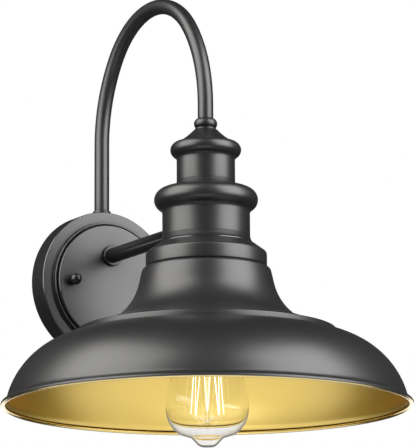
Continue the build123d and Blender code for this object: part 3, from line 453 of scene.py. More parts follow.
def highlit_rim_gold():
    """A paler, glossier copy of the lining for the rolled rim; its paler colour is a painted
    highlight.
    """
    finish = new_finish("painted_highlight_gold_rim")
    cloud = finish.noise(90.0, 3.0, 0.5)
    return finish.surface({
        "Base Color": finish.blend(cloud, (0.78, 0.60, 0.20), (0.88, 0.70, 0.30)),
        "Metallic": 1.0,
        "Roughness": 0.17 + 0.05 * cloud,
        "Coat Weight": 0.6,
        "Coat Roughness": 0.10,
        "Normal": finish.bump(cloud, 0.05, 0.00003),
    })


def clear_glass(name, tint):
    """Blown or drawn glass, with a slight ripple."""
    finish = new_finish(name)
    ripple = finish.noise(35.0, 1.0)
    return finish.surface({
        "Base Color": (*tint, 1),
        "Transmission Weight": 1.0,
        "Roughness": 0.012 * ripple,
        "IOR": GLASS_IOR,
        "Normal": finish.bump(ripple, 0.004, 0.0002),
    })


def metal(name, dark, light, roughness, scale, depth=0.00002, strength=0.15):
    """Plain metal with a mottled surface."""
    finish = new_finish(name)
    mottle = finish.noise(scale, 4.0, 0.6)
    return finish.surface({
        "Base Color": finish.blend(mottle, dark, light),
        "Metallic": 1.0,
        "Roughness": roughness + 0.16 * mottle,
        "Normal": finish.bump(mottle, strength, depth),
    })


def glowing_filament():
    """Carbon filament at full heat."""
    finish = new_finish("glowing_filament")
    heat = finish.noise(160.0, 1.0)
    return finish.surface({
        "Base Color": (0.9, 0.6, 0.2, 1),
        "Emission Color": finish.blend(heat, (1.0, 0.86, 0.55), (1.0, 0.94, 0.74)),
        "Emission Strength": 2.6,
        "Roughness": 0.5,
    })


def hook_wire():
    """Bright wire with a painted glow standing in for the filament's light beside it."""
    finish = new_finish("hook_wire_painted_glow")
    mottle = finish.noise(900.0, 3.0)
    return finish.surface({
        "Base Color": finish.blend(mottle, (0.78, 0.64, 0.36), (0.90, 0.80, 0.56)),
        "Metallic": 0.4,
        "Roughness": 0.30 + 0.1 * mottle,
        # emission paints the filament's glow onto the wire, which is no lamp
        "Emission Color": (1.0, 0.84, 0.50, 1),
        "Emission Strength": 0.45,
    })


def plain(name, dark, light, roughness, scale, strength=0.2, depth=0.00005, coat=0.0):
    """Painted, moulded or fired material with a fine uneven surface."""
    finish = new_finish(name)
    mottle = finish.noise(scale, 3.0, 0.55)
    return finish.surface({
        "Base Color": finish.blend(mottle, dark, light),
        "Roughness": roughness + 0.12 * mottle,
        "Coat Weight": coat,
        "Coat Roughness": 0.06,
        "Normal": finish.bump(mottle, strength, depth),
    })


BLACK = black_coat("satin_black_coat", shine=1.0, roughness=0.37, ior=1.86)
# a copy of the black coat with half its reflection, put on the canopy's side, the straight arm and
# the cups' flares as painted shade
SHADED_BLACK = black_coat("painted_shade_black_coat", shine=0.5, roughness=0.40, ior=1.70)
# a glossier copy of the black coat that paints highlight lines along edges
HIGHLIT_BLACK = black_coat("painted_highlight_black_edge", shine=1.0, roughness=0.20, ior=2.60)
GOLD = gold_lining()
HIGHLIT_RIM_GOLD = highlit_rim_gold()
FINISHES = {
    "black_coat": BLACK,
    "shade_coat": BLACK,
    "zinc": metal(
        "bright_zinc", (0.50, 0.51, 0.53), (0.68, 0.69, 0.70), roughness=0.30, scale=420.0,
    ),
    "black_hardware": plain(
        "smooth_black_coat", (0.012, 0.012, 0.013), (0.019, 0.019, 0.019), roughness=0.26,
        scale=700.0, strength=0.05, depth=0.00002, coat=0.7,
    ),
    "ground_green": plain(
        "green_screw_dye", (0.010, 0.15, 0.045), (0.018, 0.21, 0.065), roughness=0.30, scale=260.0,
    ),
    "foam_gasket": plain(
        "closed_cell_foam", (0.012, 0.012, 0.013), (0.040, 0.040, 0.042), roughness=0.80,
        scale=1400.0, strength=0.7, depth=0.0002,
    ),
    "porcelain": plain(
        "glazed_porcelain", (0.78, 0.77, 0.73), (0.86, 0.85, 0.82), roughness=0.14,
        scale=180.0, strength=0.05, coat=0.8,
    ),
    "brass": metal(
        "rolled_brass", (0.58, 0.38, 0.13), (0.74, 0.52, 0.21), roughness=0.22, scale=300.0,
    ),
    "bulb_cap_metal": metal(
        "nickelled_cap", (0.52, 0.49, 0.44), (0.72, 0.69, 0.63), roughness=0.20, scale=260.0,
    ),
    "bulb_black_glass": plain(
        "black_vitrite", (0.008, 0.008, 0.010), (0.020, 0.018, 0.022), roughness=0.10,
        scale=200.0, strength=0.1,
    ),
    "solder": metal(
        "dull_solder", (0.42, 0.42, 0.43), (0.60, 0.60, 0.61), roughness=0.30,
        scale=700.0, depth=0.00006, strength=0.5,
    ),
    "bulb_clear_glass": clear_glass("clear_bulb_glass", (0.985, 0.99, 0.985)),
    "stem_glass": clear_glass("stem_glass", (0.95, 0.97, 0.96)),
    "filament_glow": glowing_filament(),
    "support_wire": hook_wire(),
}

# every carried-over part takes the finish of its own slot
NODE_SLOT = {part["node"]: part["material_slot"] for part in frame["record"]["subparts"]}
for part_name, part in frame["nodes"].items():
    part.data.materials.clear()
    part.data.materials.append(FINISHES[NODE_SLOT[part_name]])


# -------------------------------- shade
SHADE_SHEET = 1.2
FLANGE = 8.5                        # flat ring under the collar's foot
COLLAR_OVERHANG = 0.1               # the collar's foot stands out over the bell by this
BELL_TOP_BEND_R = 3.3
BELL_ANGLE = 77.2                   # heading of the bell's wall
BELL_H = 9.5
BELL_FLARE_R = 45.0
BELL_FOOT_ANGLE = 38.0
APRON_BEND_R = 13.1
APRON_TOP_ANGLE = 22.0
APRON_END_ANGLE = 14.0
APRON_EDGE_R = 0.7                  # the apron's edge turns down into the step
APRON_EDGE_TURN = 55.0
STEP_RUN = 1.1                      # from the apron's edge out to the dome
DOME_R = 64.0
DOME_TOP_ANGLE = 9.2
DOME_END_ANGLE = 75.5
LIP_BEND_R = 6.0
LIP_ANGLE = 38.0
LIP_RUN = 0.83
BEAD_R = 1.8                        # the rim's edge is rolled round to this
CURL_TURN = 283.0                   # how far it is rolled round
CURL_SPLIT = 120.0                  # how far round the black coat reaches
LINING_SIDE, LINING_UP = 0.62, 0.78     # weights of a face's outward and upward look
LINING_LIMIT = -0.12                # the lining covers faces that look below this
LINING_OVERLAP = 0.1                # how far outside the rim's curl the lining stops, leaving the black coat there as painted shade in the groove
RIM_GOLD_DEPTH = 0.15               # how deep into the curl the highlit rim gold reaches; deeper faces stay black as painted shade
STEP_EDGE_INSET = 0.85              # the painted highlight on the step lies this far inside the dome
STEP_EDGE_HALF_WIDTH = 0.35
STEP_EDGE_LOOK = (0.38, 0.96)       # least and most upward look of its faces


def arc_reach(radius, start, end):
    """How far out and how far down an arc goes between two headings."""
    out = radius * (sin(radians(end)) - sin(radians(start)))
    down = radius * (cos(radians(start)) - cos(radians(end)))
    return Vector((out, down))


def dome_start():
    """Radius and height where the dome starts, so that its lip ends on the rolled rim."""
    lip = Vector((cos(radians(LIP_ANGLE)), sin(radians(LIP_ANGLE)))) * LIP_RUN
    dome = arc_reach(DOME_R, DOME_TOP_ANGLE, DOME_END_ANGLE)
    dome += arc_reach(LIP_BEND_R, LIP_ANGLE, DOME_END_ANGLE)
    return Vector((RIM_R - BEAD_R - lip.x - dome.x, 2 * BEAD_R + lip.y + dome.y))


def shade_section():
    """Closed section of the shade: bell, step, dome, flared lip, rolled bead and inner face."""
    outer = Outline(COLLAR_R - FLANGE, SHADE_TOP)
    outer.to(COLLAR_R - COLLAR_OVERHANG, SHADE_TOP)
    outer.bend(BELL_TOP_BEND_R, BELL_ANGLE).run(BELL_H / sin(radians(BELL_ANGLE)))
    outer.bend(BELL_FLARE_R, BELL_FOOT_ANGLE - BELL_ANGLE)
    outer.bend(APRON_BEND_R, APRON_TOP_ANGLE - BELL_FOOT_ANGLE)
    step_r, step_z = dome_start()
    apron_run = step_r - STEP_RUN - outer.points[-1][0]
    apron_r = apron_run / (sin(radians(APRON_TOP_ANGLE)) - sin(radians(APRON_END_ANGLE)))
    outer.bend(apron_r, APRON_END_ANGLE - APRON_TOP_ANGLE).bend(APRON_EDGE_R, APRON_EDGE_TURN)
    outer.to(step_r, step_z)
    outer.heading = DOME_TOP_ANGLE
    outer.bend(DOME_R, DOME_END_ANGLE - DOME_TOP_ANGLE)
    outer.bend(LIP_BEND_R, LIP_ANGLE - DOME_END_ANGLE).run(LIP_RUN)
    outer.heading = 0.0
    outer.bend(BEAD_R, CURL_SPLIT)
    return sheet(outer.points, SHADE_SHEET)


def rim_section():
    """Closed section of the gold part of the rolled rim, which stops short of the lining."""
    black = Outline(RIM_R - BEAD_R, 2 * BEAD_R, 0.0).bend(BEAD_R, CURL_SPLIT)
    curl = Outline(*black.points[-1], CURL_SPLIT).bend(BEAD_R, CURL_TURN - CURL_SPLIT)
    return sheet(curl.points, SHADE_SHEET)


def in_the_curl(face, depth):
    """Whether a face lies deeper than this inside the rim's curl, where the black coat stays as
    painted shade.
    """
    out, up = spot(face)
    return hypot(out - (RIM_R - BEAD_R), up - BEAD_R) < BEAD_R - depth


def is_lined(face):
    """Whether a face of the shade looks inwards or downwards, where the lining is."""
    away = Vector((face.center.x - AXIS.x, face.center.y - AXIS.y, 0)).normalized()
    look = face.normal.dot(away) * LINING_SIDE + face.normal.z * LINING_UP
    return look < LINING_LIMIT and not in_the_curl(face, -LINING_OVERLAP)


def on_the_step(face):
    """Whether a face belongs to the fine upper edge of the step round the bell's apron."""
    middle = dome_start().x - STEP_EDGE_INSET
    low, high = STEP_EDGE_LOOK
    return abs(spot(face)[0] - middle) < STEP_EDGE_HALF_WIDTH and low < face.normal.z < high


def make_shade():
    shade = turn_out("spun_shade", "shade", shade_section(), steps=192)
    # the step's upper edge takes the glossier coat as a painted highlight line
    repaint(shade, HIGHLIT_BLACK, on_the_step)
    repaint(shade, GOLD, is_lined)
    rim = turn_out("rolled_rim", "shade", rim_section(), steps=192, crease=50.0)
    # the rim takes the paler gold as a painted highlight; deep in the curl it stays black as
    # painted shade
    repaint(rim, HIGHLIT_RIM_GOLD, lambda face: not in_the_curl(face, RIM_GOLD_DEPTH))


# -------------------------------- spun stack above the shade
BORE_R = 5.15                       # hole down through the stack
CUP_SHEET = 1.2
CUP_TURN = 60.0                     # how far a cup's bead rolls under, and its cove back out
FOOT_EDGE = 0.8                     # thickness of a cup's turned-out foot
FOOT_HIGHLIGHT_BAND = 0.1                      # the painted highlight reaches this far in on the foot
FLARE_INSET = 0.05                  # the painted shade of the flare starts this far outside the neck
LOWER_CUP = {
    "bead_r": 39.6, "shoulder_r": 8.6, "under_r": 8.0,
    "neck_r": 33.4, "foot_r": 35.8, "flare_r": 10.0,
}
UPPER_CUP = {
    "bead_r": 27.1, "shoulder_r": 5.7, "under_r": 6.0,
    "neck_r": 22.3, "foot_r": 24.6, "flare_r": 9.0,
}
COLLAR_SHEET = 1.5
HUB_R, DISH_R = 12.0, 18.0          # flat hub of the collar's top, and where its dish starts
COLLAR_SLANT = 8.9                  # width and heading of the slant at the collar's shoulder
COLLAR_SLANT_ANGLE = 37.0
CONE_TOP_R = 9.0
CONE_FOOT_R = 20.3
CONE_FOOT_EDGE = 0.5
CONE_ANGLE = 47.0                   # heading at the cone's top, which hollows towards its foot
COUPLING_H = 7.6
COUPLING_BELLY_H = 3.7
COUPLING_TOP_LIP, COUPLING_BELLY, COUPLING_FOOT = 0.7, 2.95, 1.1        # outside the tube
COUPLING_SPIGOT_R = 8.0
COUPLING_BORE_R = 5.0


def cup_section(top, bottom, bead_r, shoulder_r, under_r, neck_r, foot_r, flare_r):
    """Closed section of a cup: flat top, bead, cove, neck and a flared foot with a thin edge."""
    path = Outline(BORE_R, top).to(bead_r - shoulder_r, top)
    path.bend(shoulder_r, 90.0).bend(under_r, CUP_TURN)
    path.bend(2 * (bead_r - neck_r) - under_r, -CUP_TURN)
    flare = acos(1 - (foot_r - neck_r) / flare_r)
    path.to(neck_r, bottom + FOOT_EDGE + flare_r * sin(flare)).bend(flare_r, -degrees(flare))
    path.to(foot_r, bottom)
    return sheet(path.points, CUP_SHEET)


def make_cup(node, top, bottom, cup):
    """A spun cup, with painted shade in its flare and a painted highlight on its foot's edge."""
    flare_start, foot_r, foot_top = cup["neck_r"] + FLARE_INSET, cup["foot_r"], bottom + FOOT_EDGE

    def in_flare(face):
        out, up = spot(face)
        in_reach = flare_start < out < foot_r and up < foot_top + cup["flare_r"]
        return in_reach and face.normal.z > 0.1

    def on_foot(face):
        out, up = spot(face)
        return out > foot_r - FOOT_HIGHLIGHT_BAND and up < foot_top

    piece = turn_out("spun_" + node, node, cup_section(top, bottom, **cup))
    # the flare takes the dimmer coat as painted shade
    repaint(piece, SHADED_BLACK, in_flare)
    # the foot's edge takes the glossier coat as a painted highlight
    repaint(piece, HIGHLIT_BLACK, on_foot)


def make_collar():
    """Spun collar between the shade and the lower cup."""
    slant_foot = COLLAR_SEAT - COLLAR_SLANT * tan(radians(COLLAR_SLANT_ANGLE))
    outer = rounded([
        (BORE_R, COLLAR_TOP, 0), (HUB_R, COLLAR_TOP, 2.0), (DISH_R, COLLAR_SEAT, 2.0),
        (COLLAR_R - COLLAR_SLANT, COLLAR_SEAT, 1.0), (COLLAR_R, slant_foot, 2.6),
        (COLLAR_R, SHADE_TOP, 1.65), (COLLAR_R - FLANGE, SHADE_TOP, 0),
    ])
    turn_out("spun_collar", "fitter_collar", sheet(outer, COLLAR_SHEET))


def make_cone():
    """Turned cone on the upper cup."""
    cone = Outline(BORE_R, CONE_TOP).to(CONE_TOP_R, CONE_TOP)
    cone.heading = CONE_ANGLE
    fall, spread = CONE_TOP - UPPER_SEAT - CONE_FOOT_EDGE, CONE_FOOT_R - CONE_TOP_R
    chord = degrees(atan2(fall, spread))
    hollow_r = hypot(fall, spread) / 2 / sin(radians(CONE_ANGLE - chord))
    cone.bend(hollow_r, 2 * (chord - CONE_ANGLE))
    cone.to(CONE_FOOT_R, UPPER_SEAT).to(BORE_R, UPPER_SEAT)
    turn_out("turned_cone", "cone_cap", cone.points)


def make_coupling():
    """Turned ball coupling at the gooseneck's lower end."""
    bottom = COUPLING_TOP - COUPLING_H
    lip = (TUBE_R + COUPLING_TOP_LIP, COUPLING_TOP)
    belly = (TUBE_R + COUPLING_BELLY, bottom + COUPLING_BELLY_H)
    ball = three_point_arc(lip, belly, (TUBE_R + COUPLING_FOOT, bottom), 20)
    ball += [(COUPLING_SPIGOT_R, bottom), (COUPLING_SPIGOT_R, CONE_TOP)]
    ball += [(COUPLING_BORE_R, CONE_TOP), (COUPLING_BORE_R, COUPLING_TOP)]
    turn_out("turned_coupling", "ball_coupling", ball, steps=96)


# -------------------------------- canopy, gooseneck and arm
PAN_EDGE_R = 0.9
PAN_SHEET = 1.2
PAN_BACK = 1.5                      # the pan's rim stops this far off the wall
DISC_RISE = 5.4                     # of the raised disc, above the pan's flat ring
DISC_INSET = 11.9                   # from the pan's rim
FACE_CORNERS = (                    # groove, fine ridge and flat ring: inset, rise and rounding
    (11.2, 1.2, 0.2), (10.8, 1.2, 0.2), (10.4, 3.1, 0.45), (9.3, 3.1, 0.45),
    (9.0, 0.0, 0.3), (0.0, 0.0, PAN_EDGE_R),
)
RIDGE_NEAR, RIDGE_FAR = 9.2, 10.5   # the ridge lies between these insets
RIDGE_SHOULDER = 2.6                # and carries a painted highlight above this rise
DISC_SHOULDER = 0.75                # the disc's painted highlight reaches this far down its edge
HIGHLIGHT_LOOK = (0.3, 0.93)           # least and most outward look of a highlit edge's faces
PAN_SIDE_BAND = 0.3                 # the pan's side lies this near its rim,
PAN_SIDE_LOOK = 0.3                 # and its faces look this little towards the room
ARM_COLLAR_FLAT = 1.5
ARM_COLLAR_SIDE = 2.2
ARM_COLLAR_EDGE_R = 0.8
BUSHING_SUNK, BUSHING_H = 0.6, 2.7  # below and above the top of the pan's rim
BUSHING_TOP_WALL, BUSHING_WALL = 0.9, 1.7
BUSHING_SKIRT = 1.4                 # height of its straight foot
STUD_PITCH = 0.7
STUD_THREAD_DEPTH = 0.4
STUD_THREAD_BACK = 4.0              # the thread starts this far behind the disc's face
STUD_THREAD_SHY = 0.3               # and has faded out this far from the stud's end
STUD_CHAMFER = 0.5
STUD_STEPS_A_TURN = 8
NUT_FOOT_R = 3.2
NUT_FOOT_H = 0.8
NUT_HOLE_R = 2.05
NUT_HOLE_DEPTH = 5.6
ARCH_H = 95.0                       # from the arch's springing to its crown, on the tube's middle
ARCH_INSET = 8.25                   # how much sharper the crown is than a half round
ARCH_STEP = 1.5
TUBE_WALL = 1.0
TUBE_START = 1.4                    # above the top of the pan's rim
TUBE_END = 2.0                      # below the coupling's top


def make_canopy():
    """Pan with a flat ring, a fine raised ridge, a groove and a raised disc."""
    front = DISC_DEPTH - DISC_RISE
    disc_r, inner_r = CANOPY_R - DISC_INSET, CANOPY_R - PAN_SHEET
    rings = [(CANOPY_R - inset, front + rise, rounding) for inset, rise, rounding in FACE_CORNERS]
    rings = [(0, DISC_DEPTH, 0), (disc_r, DISC_DEPTH, 0.7), *rings, (CANOPY_R, PAN_BACK, 0)]
    inner = [
        (inner_r, PAN_BACK), (inner_r, front - PAN_SHEET), (disc_r, front - PAN_SHEET),
        (disc_r - PAN_SHEET, DISC_DEPTH - PAN_SHEET), (0, DISC_DEPTH - PAN_SHEET),
    ]

    def on_side(face):
        out = hypot(face.center.x, face.center.z) / MM
        return out > CANOPY_R - PAN_SIDE_BAND and abs(face.normal.y) < PAN_SIDE_LOOK

    def on_edge(face):
        out, deep = hypot(face.center.x, face.center.z) / MM, -face.center.y / MM
        on_ridge = deep > front + RIDGE_SHOULDER and RIDGE_NEAR < CANOPY_R - out < RIDGE_FAR
        on_rim = out > CANOPY_R - PAN_EDGE_R and deep > front - PAN_EDGE_R
        on_disc = deep > DISC_DEPTH - DISC_SHOULDER
        least, most = HIGHLIGHT_LOOK
        return least < -face.normal.y < most and (on_ridge or on_rim or on_disc)

    section = rounded(rings) + inner
    canopy = turn_out("spun_canopy", "canopy", section, WALL, ROOM, steps=192)
    # the pan's side takes the dimmer coat as painted shade
    repaint(canopy, SHADED_BLACK, on_side)
    # the rim, ridge and disc edges take the glossier coat as painted highlight lines
    repaint(canopy, HIGHLIT_BLACK, on_edge)


def make_arm_collar():
    """Turned ring where the arm meets the canopy."""
    edge = [
        (
            TUBE_R + ARM_COLLAR_FLAT + ARM_COLLAR_EDGE_R * sin(radians(turn)),
            DISC_DEPTH + ARM_COLLAR_SIDE + ARM_COLLAR_EDGE_R * cos(radians(turn)),
        )
        for turn in range(0, 91, 15)
    ]
    root = [(TUBE_R, DISC_DEPTH), (TUBE_R, DISC_DEPTH + ARM_COLLAR_SIDE + ARM_COLLAR_EDGE_R)]
    foot = [(TUBE_R + ARM_COLLAR_FLAT + ARM_COLLAR_EDGE_R, DISC_DEPTH)]
    arm_root = Vector((0, 0, ARM_Z))
    turn_out("turned_arm_collar", "arm_collar", root + edge + foot, arm_root, ROOM, steps=96)


def make_bushing():
    """Turned bushing where the gooseneck leaves the canopy's rim."""
    seat, top, wide_r = CANOPY_R - BUSHING_SUNK, CANOPY_R + BUSHING_H, TUBE_R + BUSHING_WALL
    bushing = rounded([
        (TUBE_R, seat, 0), (TUBE_R, top, 0), (TUBE_R + BUSHING_TOP_WALL, top, 0.4),
        (wide_r, seat + BUSHING_SKIRT, 0.6), (wide_r, seat, 0),
    ])
    foot = Vector((0, LEG_Y, 0))
    turn_out("turned_bushing", "gooseneck_bushing", bushing, foot, steps=96)


def make_dome_nut(side):
    """Ball nut with a blind hole, on the canopy's stud."""
    node = "ball_nut_" + side
    low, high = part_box(node)
    centre = Vector(((low.x + high.x) / 2, 0, (low.z + high.z) / 2))
    ball_r = radius_of(node)
    seat = -high.y / MM
    foot_top, hole_end = seat + NUT_FOOT_H, seat + NUT_HOLE_DEPTH
    middle = foot_top + sqrt(ball_r**2 - NUT_FOOT_R**2)
    start = atan2(foot_top - middle, NUT_FOOT_R)
    section = [(NUT_FOOT_R, seat), (NUT_FOOT_R, foot_top)]
    section += arc_points((0, middle), ball_r, start, pi / 2, 24)[1:-1]
    section += [(0, middle + ball_r), (0, hole_end), (NUT_HOLE_R, hole_end), (NUT_HOLE_R, seat)]
    dress(lathe("dome_nut_" + side, section, centre, ROOM, steps=64), node, "nut_" + side)


def make_studs():
    """Studs with a rolled metric thread where the dome nuts run."""
    low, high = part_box("strap_studs")
    stud_r = (high.z - low.z) / 2 / MM
    root, end = -high.y / MM, -low.y / MM
    start, shoulder = DISC_DEPTH - STUD_THREAD_BACK, end - STUD_CHAMFER
    steps = ceil((shoulder - start) / STUD_PITCH * STUD_STEPS_A_TURN)
    side = [(stud_r, start + (shoulder - start) * step / steps) for step in range(steps + 1)]
    section = [(0, root), (stud_r, root), *side, (stud_r - STUD_CHAMFER, end), (0, end)]
    studs = []
    for x in (low.x + stud_r * MM, high.x - stud_r * MM):
        foot = Vector((x, 0, (low.z + high.z) / 2))
        stud = lathe("stud", section, foot, ROOM, steps=24, closed=False)
        thread_end = end - STUD_THREAD_SHY
        roll_thread(stud, start, thread_end, STUD_PITCH, STUD_THREAD_DEPTH, foot, ROOM)
        studs.append(stud)
    dress(finish_piece(join(studs), "threaded_studs", crease=40.0), "strap_studs")


def make_gooseneck():
    """Tube drawn up from the canopy, over three arcs and down to the coupling."""
    half_span = (LEG_Y - AXIS.y) / 2
    crown_r = half_span - ARCH_INSET * MM
    rise = ARCH_H * MM - crown_r
    side_r = (half_span**2 + rise**2 - crown_r**2) / (2 * ARCH_INSET * MM)
    side_turn = atan2(rise, side_r - half_span)
    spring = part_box("gooseneck_tube")[1].z - TUBE_R * MM - ARCH_H * MM
    foot = CANOPY_R * MM + TUBE_START * MM
    end = AXIS.z + (COUPLING_TOP - TUBE_END) * MM
    tube = lone("circle", vertices=48, radius=TUBE_R * MM, location=(0, LEG_Y, foot))
    bpy.ops.object.mode_set(mode="EDIT")
    bpy.ops.mesh.select_all(action="SELECT")
    bpy.ops.mesh.extrude_region_move(TRANSFORM_OT_translate={"value": (0, 0, spring - foot)})
    for centre_y, centre_z, turn in (
        (LEG_Y - side_r, spring, side_turn),
        (LEG_Y - half_span, spring + rise, pi - 2 * side_turn),
        (AXIS.y + side_r, spring, side_turn),
    ):
        steps = ceil(degrees(turn) / ARCH_STEP)
        centre = (0, centre_y, centre_z)
        bpy.ops.mesh.spin(steps=steps, angle=turn, center=centre, axis=(-1, 0, 0))
    bpy.ops.mesh.extrude_region_move(TRANSFORM_OT_translate={"value": (0, 0, end - spring)})
    bpy.ops.object.mode_set(mode="OBJECT")
    finish_piece(tube, "bent_gooseneck")
    thicken(tube, TUBE_WALL)
    bpy.ops.object.shade_smooth_by_angle(angle=radians(30))
    dress(tube, "gooseneck_tube")


def make_arm():
    """The straight arm: a welded, smoothly shaded copy of the part, which then stands for it, in
    painted shade.
    """
    bpy.ops.object.select_all(action="DESELECT")
    part = frame["nodes"]["arm_tube"]
    part.select_set(True)
    bpy.context.view_layer.objects.active = part
    bpy.ops.object.duplicate(linked=False)
    arm = bpy.context.object
    arm.parent = None
    for key in list(arm.keys()):
        del arm[key]
    # the dimmer coat paints shade on the arm
    dress(finish_piece(arm, "straight_arm"), "arm_tube", finish=SHADED_BLACK)


# -------------------------------- bulb and screw shells
NECK_RISE = 1.5                     # the glass neck ends this far up in the cap
NECK_PLAY = 0.3
SHOULDER_DROP = 13.2                # from the cap's foot to where the neck widens
TAPER_H = 58.0
SHOULDER_R = 30.0
CHEEK_H = 12.0                      # from the taper's end down to the widest place
BOWL_R = 24.0
BOWL_TURN = 55.0
CHEEK_FILL = 0.98                   # share of the cheek that its rounding takes up
TAIL_CORNERS = ((12.2, 7.1, 4.0), (5.6, 0.0, 7.0))     # radius, height over the tip, rounding
GLASS_WALL = 0.7
WALL_GAIN_IN = 0.0002               # how the wall thickens below the widest place, a millimetre
WALL_GAIN_UP = 0.010
EDISON_PITCH = 3.629
EDISON_DEPTH = 0.85
THREAD_STEPS = 60
THREAD_FOOT = 0.8                   # the thread starts this far above a skin's open end
THREAD_HEAD = 1.8                   # and has faded out this far under the cap's top
CROWN_DROP = 1.2                    # a skin's side ends this far under its top
CROWN_R = 1.0
HOOKS = 8
UPPER_HOOK = (9.5, 2.2, 0.2, -0.7)  # radius, half width in degrees, and how far the ends
LOWER_HOOK = (12.6, 1.8, 0.3, 0.7)  # of the filament's loop lie inwards and up from its middle
FILAMENT_R = 0.24
HOOK_WIRE_R = 0.17


def glass_outer():
    """Outer face of the envelope, from the top of its neck to its tip, and its widest height."""
    cap_bottom = bottom_of("bulb_cap")
    tip = bottom_of("bulb_glass")
    neck_r = radius_of("bulb_cap") - NECK_PLAY
    wide_r = radius_of("bulb_glass")
    taper_top = cap_bottom - SHOULDER_DROP
    taper_bottom = taper_top - TAPER_H
    widest = taper_bottom - CHEEK_H
    belly_r = CHEEK_FILL * CHEEK_H / tan(atan2(wide_r - neck_r, TAPER_H) / 2)
    side = rounded([
        (neck_r, cap_bottom + NECK_RISE, 0), (neck_r, taper_top, SHOULDER_R),
        (wide_r, taper_bottom, belly_r), (wide_r, widest, 0),
    ])
    bowl = Outline(wide_r, widest, 90.0).bend(BOWL_R, BOWL_TURN).points
    corners = [(radius, tip + rise, rounding) for radius, rise, rounding in TAIL_CORNERS]
    tail = rounded([(*bowl[-1], 0), *corners, (0, tip, 0)])
    return side + bowl[1:] + tail[1:], widest


def make_bulb_glass():
    """Envelope with a wall that thickens towards its tip."""
    outer, widest = glass_outer()
    inner = []
    for radius, height in offset_points(outer, GLASS_WALL):
        deep = max(0.0, widest - height)
        inner.append((radius * (1 - WALL_GAIN_IN * deep), height + WALL_GAIN_UP * deep))
    inner[-1] = (0, inner[-1][1])
    glass = lathe("blown_envelope", outer + inner[::-1], steps=160, crease=180.0)
    dress(glass, "bulb_glass", "bulb")
    glass.visible_shadow = glass.visible_diffuse = glass.visible_glossy = False


def threaded_skin(name, node, body, wall, turned_in):
    """Thin screw cap or shell: a rolled skin with an open lower end and a turned-in top."""
    low, high, radius = bottom_of(node), top_of(node) - CROWN_DROP, radius_of(node)
    side = [(radius, low + (high - low) * step / THREAD_STEPS) for step in range(THREAD_STEPS + 1)]
    crown = Outline(*side[-1], -90.0).bend(CROWN_R, -90.0)
    outer = side + crown.points[1:] + [(turned_in, crown.points[-1][1])]
    skin = lathe(name, outer + offset_points(outer, -wall)[::-1], steps=128, crease=40.0)
    thread_top = top_of("bulb_cap") - THREAD_HEAD
    roll_thread(skin, low + THREAD_FOOT, thread_top, EDISON_PITCH, EDISON_DEPTH)
    dress(skin, node, body)


def wires(name, node, runs, radius):
    """Round wires along chains of points, given as outwards, bearing and height on the axis."""
    pieces = []
    for run in runs:
        draw([AXIS + direction(turn, 0) * out * MM + UP * up * MM for out, turn, up in run])
        bpy.ops.object.mode_set(mode="OBJECT")
        bpy.ops.object.convert(target="CURVE")
        bpy.context.object.data.bevel_depth = radius * MM
        bpy.context.object.data.bevel_resolution = 2
        bpy.context.object.data.use_fill_caps = True
        bpy.ops.object.convert(target="MESH")
        pieces.append(bpy.context.object)
    dress(finish_piece(join(pieces), name, crease=60.0), node, "bulb")


def loop(hook, turn, up):
    """The filament's three points over a hook."""
    out, half_width, inwards, rise = hook
    ends = [(out - inwards, turn + side, up + rise) for side in (-half_width, half_width)]
    return [ends[0], (out, turn, up), ends[1]]


def make_cage():
    """Hairpin filament on its upper and lower hooks, and the fine wires that hold the hooks."""
    top = top_of("bulb_filament") - 0.5
    bottom = bottom_of("bulb_filament") + 2.4
    root_top = top - 5.0
    root_bottom = bottom_of("bulb_stem") + 2.6
    hairpin, arms = [], []
    for hook in range(HOOKS):
        upper = CAMERA_AZIMUTH + 360.0 / HOOKS * (hook - 0.5)
        lower = upper + 180.0 / HOOKS
        hairpin += loop(UPPER_HOOK, upper, top) + loop(LOWER_HOOK, lower, bottom)
        arms += [
            [(0.6, upper, root_top), (5.0, upper, root_top + 3.6), (9.9, upper, top - 0.1)],
            [
                (0.5, lower, root_bottom), (2.6, lower, root_bottom + 0.7),
                (6.2, lower, root_bottom + 2.8), (10.0, lower, bottom - 3.0),
                (12.4, lower, bottom - 0.6), (13.1, lower, bottom + 0.3),
            ],
        ]
    # the filament stays open over the last lower hook
    wires("hairpin_filament", "bulb_filament", [hairpin[:-3]], FILAMENT_R)
    wires("hook_wires", "bulb_supports", arms, HOOK_WIRE_R)


make_shade()
make_collar()
make_cup("lower_cup", LOWER_SEAT, COLLAR_SEAT, LOWER_CUP)
make_cup("upper_cup", UPPER_SEAT, LOWER_SEAT, UPPER_CUP)
make_cone()
make_coupling()
make_canopy()
make_dome_nut("left")
make_dome_nut("right")
make_arm_collar()
make_bushing()
make_studs()
make_gooseneck()
make_arm()
make_bulb_glass()
threaded_skin("rolled_screw_cap", "bulb_cap", "bulb", wall=0.3, turned_in=10.6)
threaded_skin("rolled_screw_shell", "screw_shell", "lantern", wall=0.4, turned_in=8.6)
make_cage()


# -------------------------------- floor, light and camera
FLOOR_Z = -0.75
FLOOR_R = 1.1
POOL_R = 0.9
FLOOR_GLOW = 0.45                   # share of plain white in the floor that the camera sees
POOL_DIM, POOL_BRIGHT = 0.10, 0.28  # the floor as the coat and the lining mirror it
ROOM_LIGHT = 0.12
ROOM_MIRRORED = 0.04
LINING_LAMP_WIDTH = 4.7
LINING_LAMP_AWAY = 1.75             # towards the main view, from under the shade
LINING_LAMP_LIFT = 0.01
LINING_LAMP_RADIANCE = 0.74
LAMP_AIM = 0.12                     # height above the rim that the soft boxes look at
LENS = 240.35
CAMERA_AIM = (0.00105, -0.00095, 0.1411)    # from the rim's centre
CAMERA_ELEVATION = -11.72
CAMERA_DISTANCE = 2.2733
CAMERA_ROLL = -0.35


